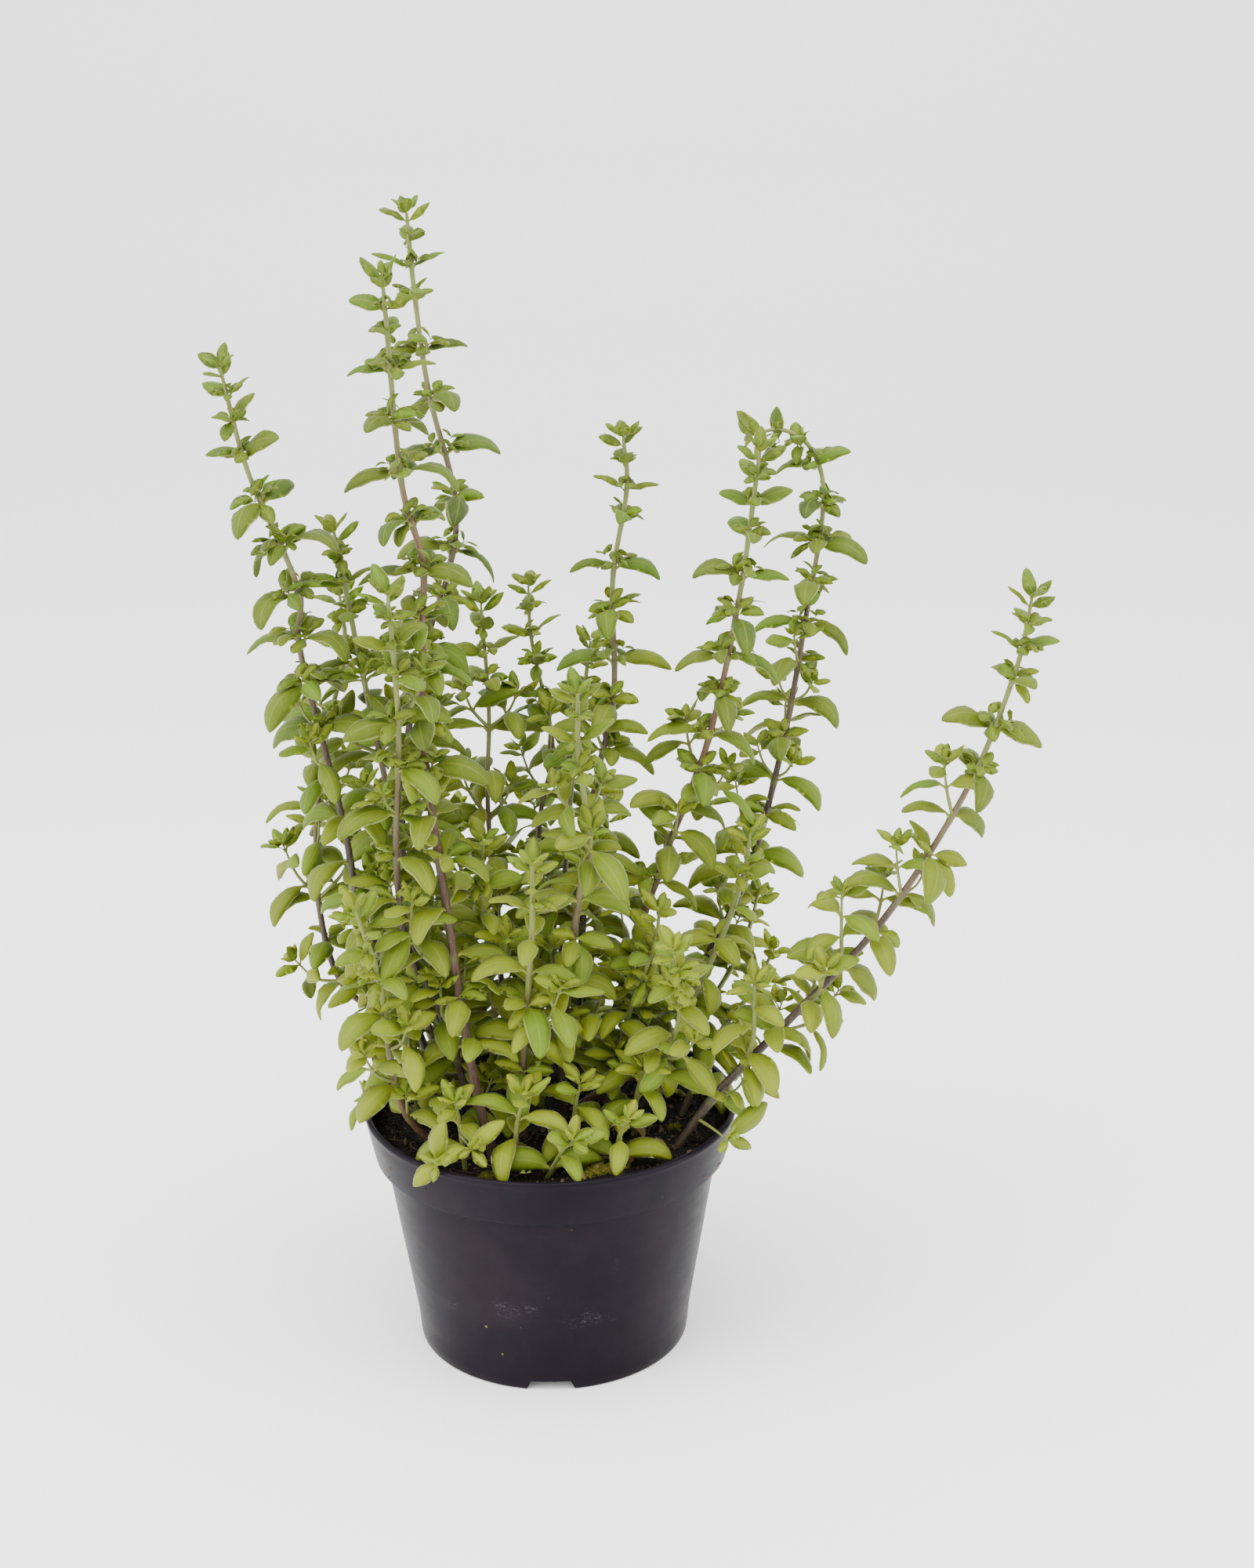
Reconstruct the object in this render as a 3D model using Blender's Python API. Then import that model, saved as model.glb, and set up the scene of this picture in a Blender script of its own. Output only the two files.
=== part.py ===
"""Potted oregano: a nursery pot, its root ball of soil, and the leafy stems that stand in it.

Sizes are in millimetres, measured from the pot's axis where it meets the ground. Meshes are
turned into metres when they are made. Each leafy stem is one solid: a square stem that follows
a smooth route, with opposite pairs of arched blades set at a right angle to the pair before.
"""
import math
import random

import bmesh
import bpy
from mathutils import Vector
from mathutils.bvhtree import BVHTree

MM = 0.001
POT_AXIS = (-31.2, -9.9)         # the pot's axis, seen from the middle of the whole plant's box

# Pot
RIM_RADIUS = 65.0
POT_HEIGHT = 87.0
BAND_HEIGHT = 17.0               # the wider band under the lip
BAND_FOOT_RADIUS = 61.8
BODY_TOP_RADIUS = 58.2
BODY_FOOT_RADIUS = 48.6
FOOT_HEIGHT = 10.0               # height over which the body turns in to the ring it stands on
RING_RADIUS = 47.6
WALL = 1.6
RING_WIDTH = 2.2
FLOOR_UNDER = 4.0                # the floor is raised inside the standing ring
STEPS = 30                       # sides of the pot and of the soil in it
NOTCHES = 4
NOTCH_TOP = 13.7                 # a notch in the ring is narrower at its top
NOTCH_FOOT = 17.6
NOTCH_HEIGHT = 3.6
DRAIN_HOLES = 5
DRAIN_RADIUS = 4.5
DRAIN_CIRCLE = 30.0

# Soil
SOIL_TOP = 79.0
SOIL_BUMP = 1.1
ROOT_DEPTH = 5.0                 # how deep a stem stands in its hole
GAP = 0.3                        # clearance between touching pieces
HOLE_GAP = 0.6
HOLE_SIDES = 4
HOLE_TOP = 4.0                   # how far the tool for a hole reaches above the soil

STEM_STEP = 22.0                 # length of one straight stretch of a stem

# Leaves
TIP_DISTANCES = (3.5, 10.0, 18.5, 29.5)   # pairs of leaves, measured from the tip
YOUNG_LENGTH = 56.0              # stretch below the tip over which leaves grow to full size,
YOUNG_SHARE = 0.4                # or this share of a short stem
TIP_LEAF = 0.42                  # length of the youngest leaf, as a share of a full one
RISE = (66.0, 48.0)              # slope in degrees where a leaf begins: youngest, full grown
DROOP = (10.0, -78.0)            # slope where a leaf ends: youngest, full grown
LENGTH_SPREAD = (0.88, 1.06)
TURN_SPREAD = 14.0               # degrees by which leaves differ in turn, slopes and roll
RISE_SPREAD = 9.0
DROOP_SPREAD = 16.0
ROLL_SPREAD = 22.0
BLADE_RATIO = 0.19               # half width over length
RIDGE = 0.35                     # how far the midrib stands above the arc that the leaf follows
HANG = 0.42                      # how far the margins hang below it, as a share of the half width
LARGE_BLADE = ((0.18, 0.25), (0.45, 1.05), (0.77, 0.8))   # along the leaf, share of half width
SMALL_BLADE = ((0.36, 1.0), (0.74, 0.85))
BUD_BLADE = ((0.48, 0.95),)
SMALL_LEAF = 19.5                # leaves shorter than this have a simpler outline,
BUD_LEAF = 11.8                  # and those shorter than this the simplest
ROOT_OFFSET = 0.28               # how far from a stem's middle a leaf begins, as a share of its radius
CLEAR = 0.45                     # room kept round a blade
TRIES = ((0, 0, 1.0), (14, 0, 1.0), (-14, 0, 1.0), (0, 14, 1.0), (0, -14, 1.0), (26, 6, 0.95),
         (-26, 6, 0.95), (16, -16, 0.9), (-16, -16, 0.9), (0, 22, 0.8), (34, 0, 0.8), (-34, 0, 0.8))

# Each stem: where it leaves the soil, the points it passes through up to its tip, its radius at
# the root and the tip, how far the first leaf is above the root, the length of a full leaf, and
# the direction of the pair at the tip in degrees.
STEMS = {
    "stem_tall_back": {
        "root": (-24, 14), "girth": (1.6, 0.8), "bare": 45, "leaf": 22.0, "gap": 17, "turn": 20,
        "points": [(-43, 18, 119), (-51, 23, 172), (-45, 29, 230), (-33, 33, 267),
                   (-30, 36, 292), (-38, 40, 327), (-42, 43, 359), (-44, 45, 386)]},
    "stem_tall_front": {
        "root": (-19, -30), "girth": (1.9, 0.8), "bare": 41, "leaf": 22.0, "gap": 16, "turn": 75,
        "points": [(-26, -28, 116), (-32, -25, 165), (-38, -22, 218), (-38, -19, 258),
                   (-37, -18, 282), (-43, -16, 307), (-46, -13, 352), (-47, -12, 370)]},
    "stem_left_inner": {
        "root": (-28, 2), "girth": (1.4, 0.8), "bare": 35, "leaf": 22.0, "gap": 16, "turn": 5,
        "points": [(-38, 0, 123), (-51, -3, 193), (-59, -6, 243), (-66, -8, 290)]},
    "stem_left_front": {
        "root": (-26, -10), "girth": (1.5, 0.9), "bare": 34, "leaf": 23.0, "gap": 16, "turn": 30,
        "points": [(-34, -16, 121), (-46, -22, 153), (-48, -27, 188), (-45, -34, 232),
                   (-46, -42, 277)]},
    "stem_left_back": {
        "root": (-32, 16), "girth": (1.5, 0.8), "bare": 42, "leaf": 22.0, "gap": 16, "turn": 0,
        "points": [(-52, 20, 105), (-74, 23, 121), (-82, 28, 155), (-79, 33, 201),
                   (-70, 37, 238), (-71, 40, 258)]},
    "stem_left_outer": {
        "root": (-36, 3), "girth": (1.5, 0.7), "bare": 37, "leaf": 22.0, "gap": 16, "turn": 60,
        "points": [(-46, -1, 115), (-62, -7, 158), (-67, -13, 196), (-77, -20, 254),
                   (-76, -24, 275), (-89, -29, 313), (-95, -34, 346)]},
    "stem_left_low": {
        "root": (-38, -21), "girth": (1.5, 0.8), "bare": 18, "leaf": 21.0, "gap": 14, "turn": 40,
        "points": [(-48, -25, 93), (-52, -31, 116), (-54, -37, 147), (-60, -44, 174)]},
    "stem_middle_back": {
        "root": (-14, 34), "girth": (1.4, 0.7), "bare": 30, "leaf": 23.5, "gap": 16, "turn": 15,
        "points": [(-18, 36, 111), (-22, 42, 178), (-21, 45, 215), (-23, 48, 253)]},
    "stem_centre_back": {
        "root": (-2, 43), "girth": (1.4, 0.7), "bare": 34, "leaf": 21.0, "gap": 16, "turn": 0,
        "points": [(-5, 45, 114), (-4, 51, 172), (1, 55, 199), (-6, 60, 236), (-7, 62, 256)]},
    "stem_centre_inner": {
        "root": (3, 29), "girth": (1.3, 0.7), "bare": 41, "leaf": 20.0, "gap": 16, "turn": 50,
        "points": [(3, 33, 118), (7, 41, 180), (15, 50, 239)]},
    "stem_centre_front": {
        "root": (4, -6), "girth": (1.5, 0.9), "bare": 27, "leaf": 22.0, "gap": 16, "turn": 10,
        "points": [(6, -12, 128), (12, -21, 174), (15, -24, 189), (12, -30, 222),
                   (12, -34, 243)]},
    "stem_right_inner": {
        "root": (10, 20), "girth": (1.5, 0.8), "bare": 42, "leaf": 21.0, "gap": 16, "turn": 0,
        "points": [(10, 21, 117), (15, 24, 185), (23, 26, 225), (23, 28, 265), (28, 30, 296),
                   (27, 30, 314)]},
    "stem_right_tall": {
        "root": (17, 15), "girth": (1.5, 0.8), "bare": 41, "leaf": 21.5, "gap": 14, "turn": 10,
        "points": [(24, 13, 120), (40, 11, 172), (55, 9, 215), (65, 7, 265), (71, 4, 313)]},
    "stem_right_bent": {
        "root": (25, 33), "girth": (1.6, 0.7), "bare": 45, "leaf": 22.0, "gap": 14, "turn": 70,
        "points": [(47, 35, 111), (69, 40, 152), (82, 44, 200), (90, 48, 246), (96, 52, 288),
                   (91, 54, 306), (81, 55, 312), (72, 56, 310)]},
    "stem_right_short": {
        "root": (32, 9), "girth": (1.4, 0.8), "bare": 20, "leaf": 21.0, "gap": 14, "turn": 25,
        "points": [(46, 7, 113), (60, 5, 146), (67, 3, 169), (69, 2, 184)]},
    "stem_right_outer": {
        "root": (44, -22), "girth": (1.7, 0.7), "bare": 22, "leaf": 22.0, "gap": 16, "turn": 15,
        "points": [(57, -23, 99), (79, -24, 124), (111, -26, 162), (137, -28, 208),
                   (151, -29, 248), (155, -30, 272)]},
    "stem_right_low": {
        "root": (7, 5), "girth": (1.4, 0.8), "bare": 24, "leaf": 21.0, "gap": 14, "turn": 35,
        "points": [(15, -4, 90), (34, -18, 108), (44, -29, 128), (42, -46, 160)]},
    "stem_front_short": {
        "root": (-9, -16), "girth": (1.4, 0.8), "bare": 24, "leaf": 21.5, "gap": 14, "turn": 5,
        "points": [(-8, -24, 113), (-4, -37, 162), (-3, -44, 189)]},
    "stem_middle_right": {
        "root": (19, 3), "girth": (1.3, 0.8), "bare": 26, "leaf": 21.0, "gap": 14, "turn": 60,
        "points": [(27, -2, 118), (36, -7, 146), (38, -10, 160)]},
    "stem_middle_left": {
        "root": (-13, 7), "girth": (1.3, 0.8), "bare": 28, "leaf": 21.5, "gap": 14, "turn": 15,
        "points": [(-19, -2, 121), (-21, -14, 172), (-20, -18, 188)]},
    "shoot_front_left": {
        "root": (-28, -37), "girth": (1.0, 0.7), "bare": 8, "leaf": 20.0, "gap": 13, "turn": 45,
        "points": [(-29, -41, 98), (-30, -44, 106)]},
    "shoot_front_round": {
        "root": (-11, -40), "girth": (1.1, 0.8), "bare": 8, "leaf": 23.0, "gap": 13, "turn": 80,
        "points": [(-10, -42, 96), (-7, -44, 109)]},
    "shoot_front_low": {
        "root": (0, -44), "girth": (1.0, 0.7), "bare": 6, "leaf": 21.0, "gap": 13, "turn": 20,
        "points": [(5, -50, 91), (9, -54, 97)]},
    "shoot_front_middle": {
        "root": (8, -28), "girth": (1.1, 0.7), "bare": 8, "leaf": 22.0, "gap": 13, "turn": 50,
        "points": [(9, -31, 96), (11, -34, 108)]},
    "shoot_front_right": {
        "root": (23, -38), "girth": (1.0, 0.7), "bare": 6, "leaf": 19.0, "gap": 13, "turn": 0,
        "points": [(24, -42, 93), (27, -45, 100)]},
    "shoot_right_inner": {
        "root": (29, -14), "girth": (1.1, 0.7), "bare": 8, "leaf": 22.0, "gap": 13, "turn": 30,
        "points": [(30, -20, 97), (33, -27, 111)]},
    "shoot_left_inner": {
        "root": (-46, -8), "girth": (1.1, 0.7), "bare": 8, "leaf": 22.0, "gap": 13, "turn": 15,
        "points": [(-46, -12, 101), (-48, -16, 122)]},
    "shoot_back_left": {
        "root": (-40, 28), "girth": (1.3, 0.8), "bare": 22, "leaf": 21.0, "gap": 15, "turn": 40,
        "points": [(-48, 40, 112), (-57, 54, 148), (-60, 60, 165)]},
    "shoot_back_outer": {
        "root": (-22, 44), "girth": (1.3, 0.8), "bare": 20, "leaf": 21.0, "gap": 15, "turn": 0,
        "points": [(-28, 55, 110), (-34, 68, 146), (-36, 74, 170)]},
    "shoot_back_middle": {
        "root": (10, 46), "girth": (1.3, 0.8), "bare": 20, "leaf": 21.0, "gap": 15, "turn": 60,
        "points": [(13, 58, 110), (19, 72, 148), (20, 78, 172)]},
    "shoot_back_right": {
        "root": (38, 22), "girth": (1.3, 0.8), "bare": 22, "leaf": 21.0, "gap": 13, "turn": 20,
        "points": [(54, 24, 108), (68, 32, 130), (74, 38, 148)]},
    "shoot_right_side": {
        "root": (46, 3), "girth": (1.2, 0.8), "bare": 16, "leaf": 20.0, "gap": 13, "turn": 70,
        "points": [(56, 5, 104), (70, 10, 122), (78, 14, 136)]},
}

# A side shoot grows out of another stem and is one solid with it.
SIDE_SHOOTS = {
    "stem_right_outer": {
        "start": (66, -23.5, 109), "girth": (1.1, 0.8), "bare": 6, "leaf": 20.0, "gap": 14, "turn": 30,
        "points": [(69, -28, 122), (69, -33, 143)]},
}


def clear_scene():
    for item in list(bpy.data.objects):
        bpy.data.objects.remove(item, do_unlink=True)


def material(name, colour, roughness, metallic=0.0):
    made = bpy.data.materials.new(name)
    made.use_nodes = True
    shader = made.node_tree.nodes["Principled BSDF"]
    shader.inputs["Base Color"].default_value = (*colour, 1.0)
    shader.inputs["Roughness"].default_value = roughness
    shader.inputs["Metallic"].default_value = metallic
    return made


def add_object(name, vertices, faces, surface=None, parent=None):
    """Make an object from vertices in millimetres."""
    mesh = bpy.data.meshes.new(name)
    mesh.from_pydata([Vector(v) * MM for v in vertices], [], faces)
    if surface:
        mesh.materials.append(surface)
    made = bpy.data.objects.new(name, mesh)
    bpy.context.scene.collection.objects.link(made)
    made.parent = parent
    return made


def soften(item, degrees=40.0):
    item.data.shade_smooth()
    item.data.set_sharp_from_angle(angle=math.radians(degrees))


def cut(item, cutter):
    """Subtract the cutter, which stays in the file as a guide."""
    cutter.hide_render = True
    cutter.display_type = "WIRE"
    made = item.modifiers.new(cutter.name, "BOOLEAN")
    made.operation = "DIFFERENCE"
    made.solver = "EXACT"
    made.object = cutter


def turned(name, profile, steps, surface, parent):
    """Spin a closed profile of radius and height round the vertical axis."""
    shape = bmesh.new()
    points = [shape.verts.new((radius, 0.0, height)) for radius, height in profile]
    edges = [shape.edges.new((a, b)) for a, b in zip(points, points[1:])]
    bmesh.ops.spin(shape, geom=points + edges, cent=(0, 0, 0), axis=(0, 0, 1),
                   angle=math.tau, steps=steps, use_merge=True)
    bmesh.ops.remove_doubles(shape, verts=shape.verts, dist=0.001)
    bmesh.ops.recalc_face_normals(shape, faces=shape.faces)
    bmesh.ops.triangulate(shape, faces=shape.faces)
    vertices = [v.co.copy() for v in shape.verts]
    faces = [[v.index for v in face.verts] for face in shape.faces]
    shape.free()
    return add_object(name, vertices, faces, surface, parent)


def prism(name, outlines, parent):
    """Close a solid between two outlines with the same number of points."""
    count = len(outlines[0])
    vertices = [*outlines[0], *outlines[1]]
    faces = [list(range(count))[::-1], list(range(count, 2 * count))]
    for i in range(count):
        j = (i + 1) % count
        faces.append([i, j, count + j, count + i])
    return add_object(name, vertices, faces, parent=parent)


def circle(radius, height, sides, centre=(0.0, 0.0)):
    turns = [math.tau * i / sides for i in range(sides)]
    return [(centre[0] + radius * math.cos(t), centre[1] + radius * math.sin(t), height)
            for t in turns]


def join_solids(name, solids):
    """Join closed solids into one mesh, for use as one cutter."""
    shape = bmesh.new()
    for solid in solids:
        shape.from_mesh(solid.data)
        bpy.data.objects.remove(solid, do_unlink=True)
    mesh = bpy.data.meshes.new(name)
    shape.to_mesh(mesh)
    shape.free()
    made = bpy.data.objects.new(name, mesh)
    bpy.context.scene.collection.objects.link(made)
    return made


def pot_inside():
    """Radius and height of the pot's inner side, from its floor's edge up to the lip."""
    step = POT_HEIGHT - BAND_HEIGHT
    return [(BODY_FOOT_RADIUS - WALL - 1.0, FLOOR_UNDER + WALL), (BODY_TOP_RADIUS - WALL, step + 0.4),
            (BAND_FOOT_RADIUS - WALL, step + 1.4), (RIM_RADIUS - 1.9, POT_HEIGHT - 0.6)]


def build_pot(surface, parent):
    step = POT_HEIGHT - BAND_HEIGHT
    outer = [(RIM_RADIUS - 1.3, POT_HEIGHT), (RIM_RADIUS, POT_HEIGHT - 0.8),
             (RIM_RADIUS - 0.2, POT_HEIGHT - 2.4), (BAND_FOOT_RADIUS, step + 0.7),
             (BAND_FOOT_RADIUS - 0.6, step), (BODY_TOP_RADIUS, step - 0.5),
             (BODY_FOOT_RADIUS, FOOT_HEIGHT), (RING_RADIUS, 0.0)]
    under = [(RING_RADIUS - RING_WIDTH, 0.0), (RING_RADIUS - RING_WIDTH - 0.2, FLOOR_UNDER),
             (0.0, FLOOR_UNDER)]
    profile = outer + under + [(0.0, FLOOR_UNDER + WALL), *pot_inside()]
    pot = turned("pot", profile + [profile[0]], STEPS, surface, parent)
    soften(pot, 30.0)
    notches = []
    for i in range(NOTCHES):
        turn = math.radians(-90.0 + 360.0 * i / NOTCHES)
        along = Vector((math.cos(turn), math.sin(turn), 0.0))
        across = Vector((-math.sin(turn), math.cos(turn), 0.0))
        faces = []
        for radius in (RING_RADIUS - 6.0, RING_RADIUS + 6.0):
            corners = ((-NOTCH_FOOT / 2, -1.0), (NOTCH_FOOT / 2, -1.0),
                       (NOTCH_TOP / 2, NOTCH_HEIGHT), (-NOTCH_TOP / 2, NOTCH_HEIGHT))
            faces.append([along * radius + across * x + Vector((0, 0, z)) for x, z in corners])
        notches.append(prism("notch", faces, None))
    cutter = join_solids("notch_cutter", notches)
    cutter.parent = parent
    cut(pot, cutter)
    drains = []
    for i in range(DRAIN_HOLES):
        turn = math.tau * (i + 0.5) / DRAIN_HOLES
        centre = (DRAIN_CIRCLE * math.cos(turn), DRAIN_CIRCLE * math.sin(turn))
        drains.append(prism("drain", [circle(DRAIN_RADIUS, FLOOR_UNDER - 1.0, 8, centre),
                                      circle(DRAIN_RADIUS, FLOOR_UNDER + WALL + 1.0, 8, centre)],
                            None))
    cutter = join_solids("drain_cutter", drains)
    cutter.parent = parent
    cut(pot, cutter)
    return pot


def soil_height(x, y):
    """A gently uneven surface that rises a little towards the middle of the pot."""
    wave = math.sin(x * 0.19 + 0.7) * math.cos(y * 0.23 - 0.4) + 0.5 * math.sin(x * 0.41 - y * 0.37)
    edge = min(1.0, max(0.0, (58.0 - math.hypot(x, y)) / 20.0))
    return SOIL_TOP + SOIL_BUMP * (0.6 * wave * edge + edge - 0.6)


def build_soil(surface, parent, plans):
    """A root ball that fills the pot, with a plain hole along the foot of every stem."""
    inside = pot_inside()
    side = [(radius - GAP, height + GAP) for radius, height in inside[:-1]]
    (low_radius, low), (lip_radius, lip) = inside[-2:]
    edge = SOIL_TOP - SOIL_BUMP / 2
    side.append((low_radius + (lip_radius - low_radius) * (edge - low) / (lip - low) - GAP, edge))
    vertices = [(0.0, 0.0, side[0][1])]
    for radius, height in side:
        vertices += circle(radius, height, STEPS)
    top_radii = [side[-1][0] * share for share in (0.72, 0.34)]
    for radius in top_radii:
        vertices += [(x, y, soil_height(x, y)) for x, y, _ in circle(radius, 0.0, STEPS)]
    vertices.append((0.0, 0.0, soil_height(0.0, 0.0)))
    rings = len(side) + len(top_radii)
    faces = []
    for i in range(STEPS):
        j = (i + 1) % STEPS
        faces.append([0, 1 + j, 1 + i])
        for ring in range(rings - 1):
            low = 1 + ring * STEPS
            high = low + STEPS
            faces.append([low + i, low + j, high + j])
            faces.append([low + i, high + j, high + i])
        last = 1 + (rings - 1) * STEPS
        faces.append([last + i, last + j, len(vertices) - 1])
    soil = add_object("soil", vertices, faces, surface, parent)
    holes = []
    for plan in plans:
        if "root" not in plan["stem"]:
            continue
        foot, after = (place for place, _ in plan["stations"][:2])
        slant = (after - foot) / (after.z - foot.z)
        radius = (plan["stem"]["girth"][0] * slant.length + HOLE_GAP) / math.cos(math.pi / HOLE_SIDES)
        outlines = []
        for height in (foot.z - plan["stem"]["girth"][0] - GAP, SOIL_TOP + HOLE_TOP):
            centre = foot + slant * (height - foot.z)
            outlines.append(circle(radius, height, HOLE_SIDES, centre))
        holes.append(prism("hole", outlines, None))
    cutter = join_solids("stem_hole_cutter", holes)
    cutter.parent = parent
    cut(soil, cutter)
    return soil


def smooth_route(points, pieces=8):
    """Points of a smooth curve through the given ones, closely spaced."""
    points = [Vector(p) for p in points]
    ends = [points[0] * 2 - points[1], *points, points[-1] * 2 - points[-2]]
    route = [points[0]]
    for p0, p1, p2, p3 in zip(ends, ends[1:], ends[2:], ends[3:]):
        for i in range(1, pieces + 1):
            t = i / pieces
            route.append(0.5 * (2 * p1 + (p2 - p0) * t + (2 * p0 - 5 * p1 + 4 * p2 - p3) * t ** 2
                                + (3 * p1 - p0 - 3 * p2 + p3) * t ** 3))
    return route


def route_lengths(route):
    lengths = [0.0]
    for a, b in zip(route, route[1:]):
        lengths.append(lengths[-1] + (b - a).length)
    return lengths


def place_on(route, lengths, distance):
    """The point and direction at a distance along the route."""
    distance = min(max(distance, 0.0), lengths[-1])
    for i in range(1, len(route)):
        if lengths[i] >= distance:
            break
    share = (distance - lengths[i - 1]) / (lengths[i] - lengths[i - 1])
    return route[i - 1].lerp(route[i], share), (route[i] - route[i - 1]).normalized()


def side_of(direction, degrees):
    """A unit vector square to the direction, turned from the +X side round it."""
    first = Vector((1, 0, 0)) - direction * direction.x
    first.normalize()
    second = direction.cross(first)
    turn = math.radians(degrees)
    return first * math.cos(turn) + second * math.sin(turn)


def stem_stations(route, lengths):
    """Evenly spaced places and directions along a stem, from its foot to its tip."""
    count = max(2, round(lengths[-1] / STEM_STEP))
    return [place_on(route, lengths, lengths[-1] * i / count) for i in range(count + 1)]


def stem_solid(stations, girth, turn):
    """A square stem with a pointed tip, as vertices and triangles."""
    count = len(stations) - 1
    vertices = []
    for i, (centre, direction) in enumerate(stations):
        radius = girth[0] + (girth[1] - girth[0]) * i / count
        for corner in range(4):
            vertices.append(centre + side_of(direction, turn + 45 + 90 * corner) * radius)
    tip, direction = stations[-1]
    vertices.append(tip + direction * girth[1] * 1.5)
    faces = [[0, 3, 2], [0, 2, 1]]
    for i in range(count):
        low = 4 * i
        for corner in range(4):
            after = (corner + 1) % 4
            faces.append([low + corner, low + after, low + 4 + after])
            faces.append([low + corner, low + 4 + after, low + 4 + corner])
    for corner in range(4):
        faces.append([4 * count + corner, 4 * count + (corner + 1) % 4, len(vertices) - 1])
    return vertices, faces


def leaf_frame(leaf):
    """Outward, upward and sideways directions of a leaf, after its own turn and roll."""
    out = side_of(leaf["direction"], leaf["azimuth"])
    rise = leaf["direction"] + Vector((0, 0, 1))
    rise -= out * rise.dot(out)
    rise.normalize()
    across = out.cross(rise)
    roll = math.radians(leaf["roll"])
    return (out, rise * math.cos(roll) + across * math.sin(roll),
            across * math.cos(roll) - rise * math.sin(roll))


def leaf_point(leaf, frame, share):
    """The midrib's place and the blade's upper side at a share of the leaf's length."""
    out, rise, _ = frame
    start = math.radians(leaf["rise"])
    bend = math.radians(leaf["droop"]) - start
    angle = start + bend * share
    run = (math.sin(angle) - math.sin(start)) / bend
    climb = (math.cos(start) - math.cos(angle)) / bend
    place = leaf["root"] + (out * run + rise * climb) * leaf["length"]
    return place, rise * math.cos(angle) - out * math.sin(angle)


def blade_stations(length):
    if length < BUD_LEAF:
        return BUD_BLADE
    return SMALL_BLADE if length < SMALL_LEAF else LARGE_BLADE


def leaf_solid(leaf, clear=0.0, blade_only=False):
    """An arched blade, highest along its midrib, with margins that hang down on both sides."""
    frame = leaf_frame(leaf)
    across = frame[2]
    stations = blade_stations(leaf["length"])
    half = leaf["length"] * BLADE_RATIO
    tip, _ = leaf_point(leaf, frame, 1.0 + clear / leaf["length"])
    foot, _ = leaf_point(leaf, frame, 0.14 if blade_only else 0.0)
    vertices = [foot]
    for share, width in stations:
        place, upper = leaf_point(leaf, frame, share)
        reach = half * width + clear
        hang = upper * (HANG * half * width + clear)
        vertices.append(place - across * reach - hang)
        vertices.append(place + across * reach - hang)
        vertices.append(place + upper * (RIDGE + clear))
    vertices.append(tip)
    faces = [[0, 1, 2], [0, 2, 3], [0, 3, 1]]
    for i in range(len(stations) - 1):
        a = 1 + 3 * i
        for left, right in ((a + 1, a), (a + 2, a + 1), (a, a + 2)):
            faces.append([left, right, right + 3])
            faces.append([left, right + 3, left + 3])
    a = 1 + 3 * (len(stations) - 1)
    last = len(vertices) - 1
    faces += [[a + 1, a, last], [a + 2, a + 1, last], [a, a + 2, last]]
    return vertices, faces


def leaf_distances(length, bare, gap):
    """Distances from the tip at which pairs of leaves grow."""
    places = list(TIP_DISTANCES)
    while places[-1] + gap < length:
        places.append(places[-1] + gap)
    return [place for place in places if place < length - bare]


def core_point(stations, share):
    """The middle of the straight-sided tube at a share of its length."""
    place = share * (len(stations) - 1)
    i = min(int(place), len(stations) - 2)
    return stations[i][0].lerp(stations[i + 1][0], place - i)


def wanted_leaves(stem, plan, draw):
    """The pairs of leaves of one stem, from its tip down."""
    lengths = plan["lengths"]
    leaves = []
    young = min(YOUNG_LENGTH, YOUNG_SHARE * lengths[-1])
    for pair, distance in enumerate(leaf_distances(lengths[-1], stem["bare"], stem["gap"])):
        _, direction = place_on(plan["route"], lengths, lengths[-1] - distance)
        share = 1.0 - distance / lengths[-1]
        grown = min(1.0, distance / young)
        for side in (0, 180):
            azimuth = stem["turn"] + 90 * pair + side + draw.uniform(-TURN_SPREAD, TURN_SPREAD)
            size = TIP_LEAF + (1.0 - TIP_LEAF) * grown
            rise = RISE[0] + (RISE[1] - RISE[0]) * grown
            droop = DROOP[0] + (DROOP[1] - DROOP[0]) * grown
            leaf = {
                "direction": direction, "azimuth": azimuth, "distance": distance,
                "length": stem["leaf"] * size * draw.uniform(*LENGTH_SPREAD),
                "rise": rise + draw.uniform(-RISE_SPREAD, RISE_SPREAD),
                "droop": droop + draw.uniform(-DROOP_SPREAD, DROOP_SPREAD),
                "roll": draw.uniform(-ROLL_SPREAD, ROLL_SPREAD),
            }
            sunk = ROOT_OFFSET * (stem["girth"][0] + (stem["girth"][1] - stem["girth"][0]) * share)
            leaf["root"] = core_point(plan["stations"], share) + side_of(direction, azimuth) * sunk
            leaves.append(leaf)
    return leaves


def solid_tree(solid):
    return BVHTree.FromPolygons(solid[0], solid[1], all_triangles=True)


def box_of(points):
    return ([min(p[i] for p in points) for i in range(3)],
            [max(p[i] for p in points) for i in range(3)])


def boxes_meet(one, other):
    return all(one[0][i] <= other[1][i] and other[0][i] <= one[1][i] for i in range(3))


def hits(solid, things):
    """Whether a solid touches any thing, each given as a box and a tree."""
    box = box_of(solid[0])
    tree = None
    for other_box, other_tree in things:
        if boxes_meet(box, other_box):
            tree = tree or solid_tree(solid)
            if tree.overlap(other_tree):
                return True
    return False


def thing(solid):
    return box_of(solid[0]), solid_tree(solid)


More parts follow.
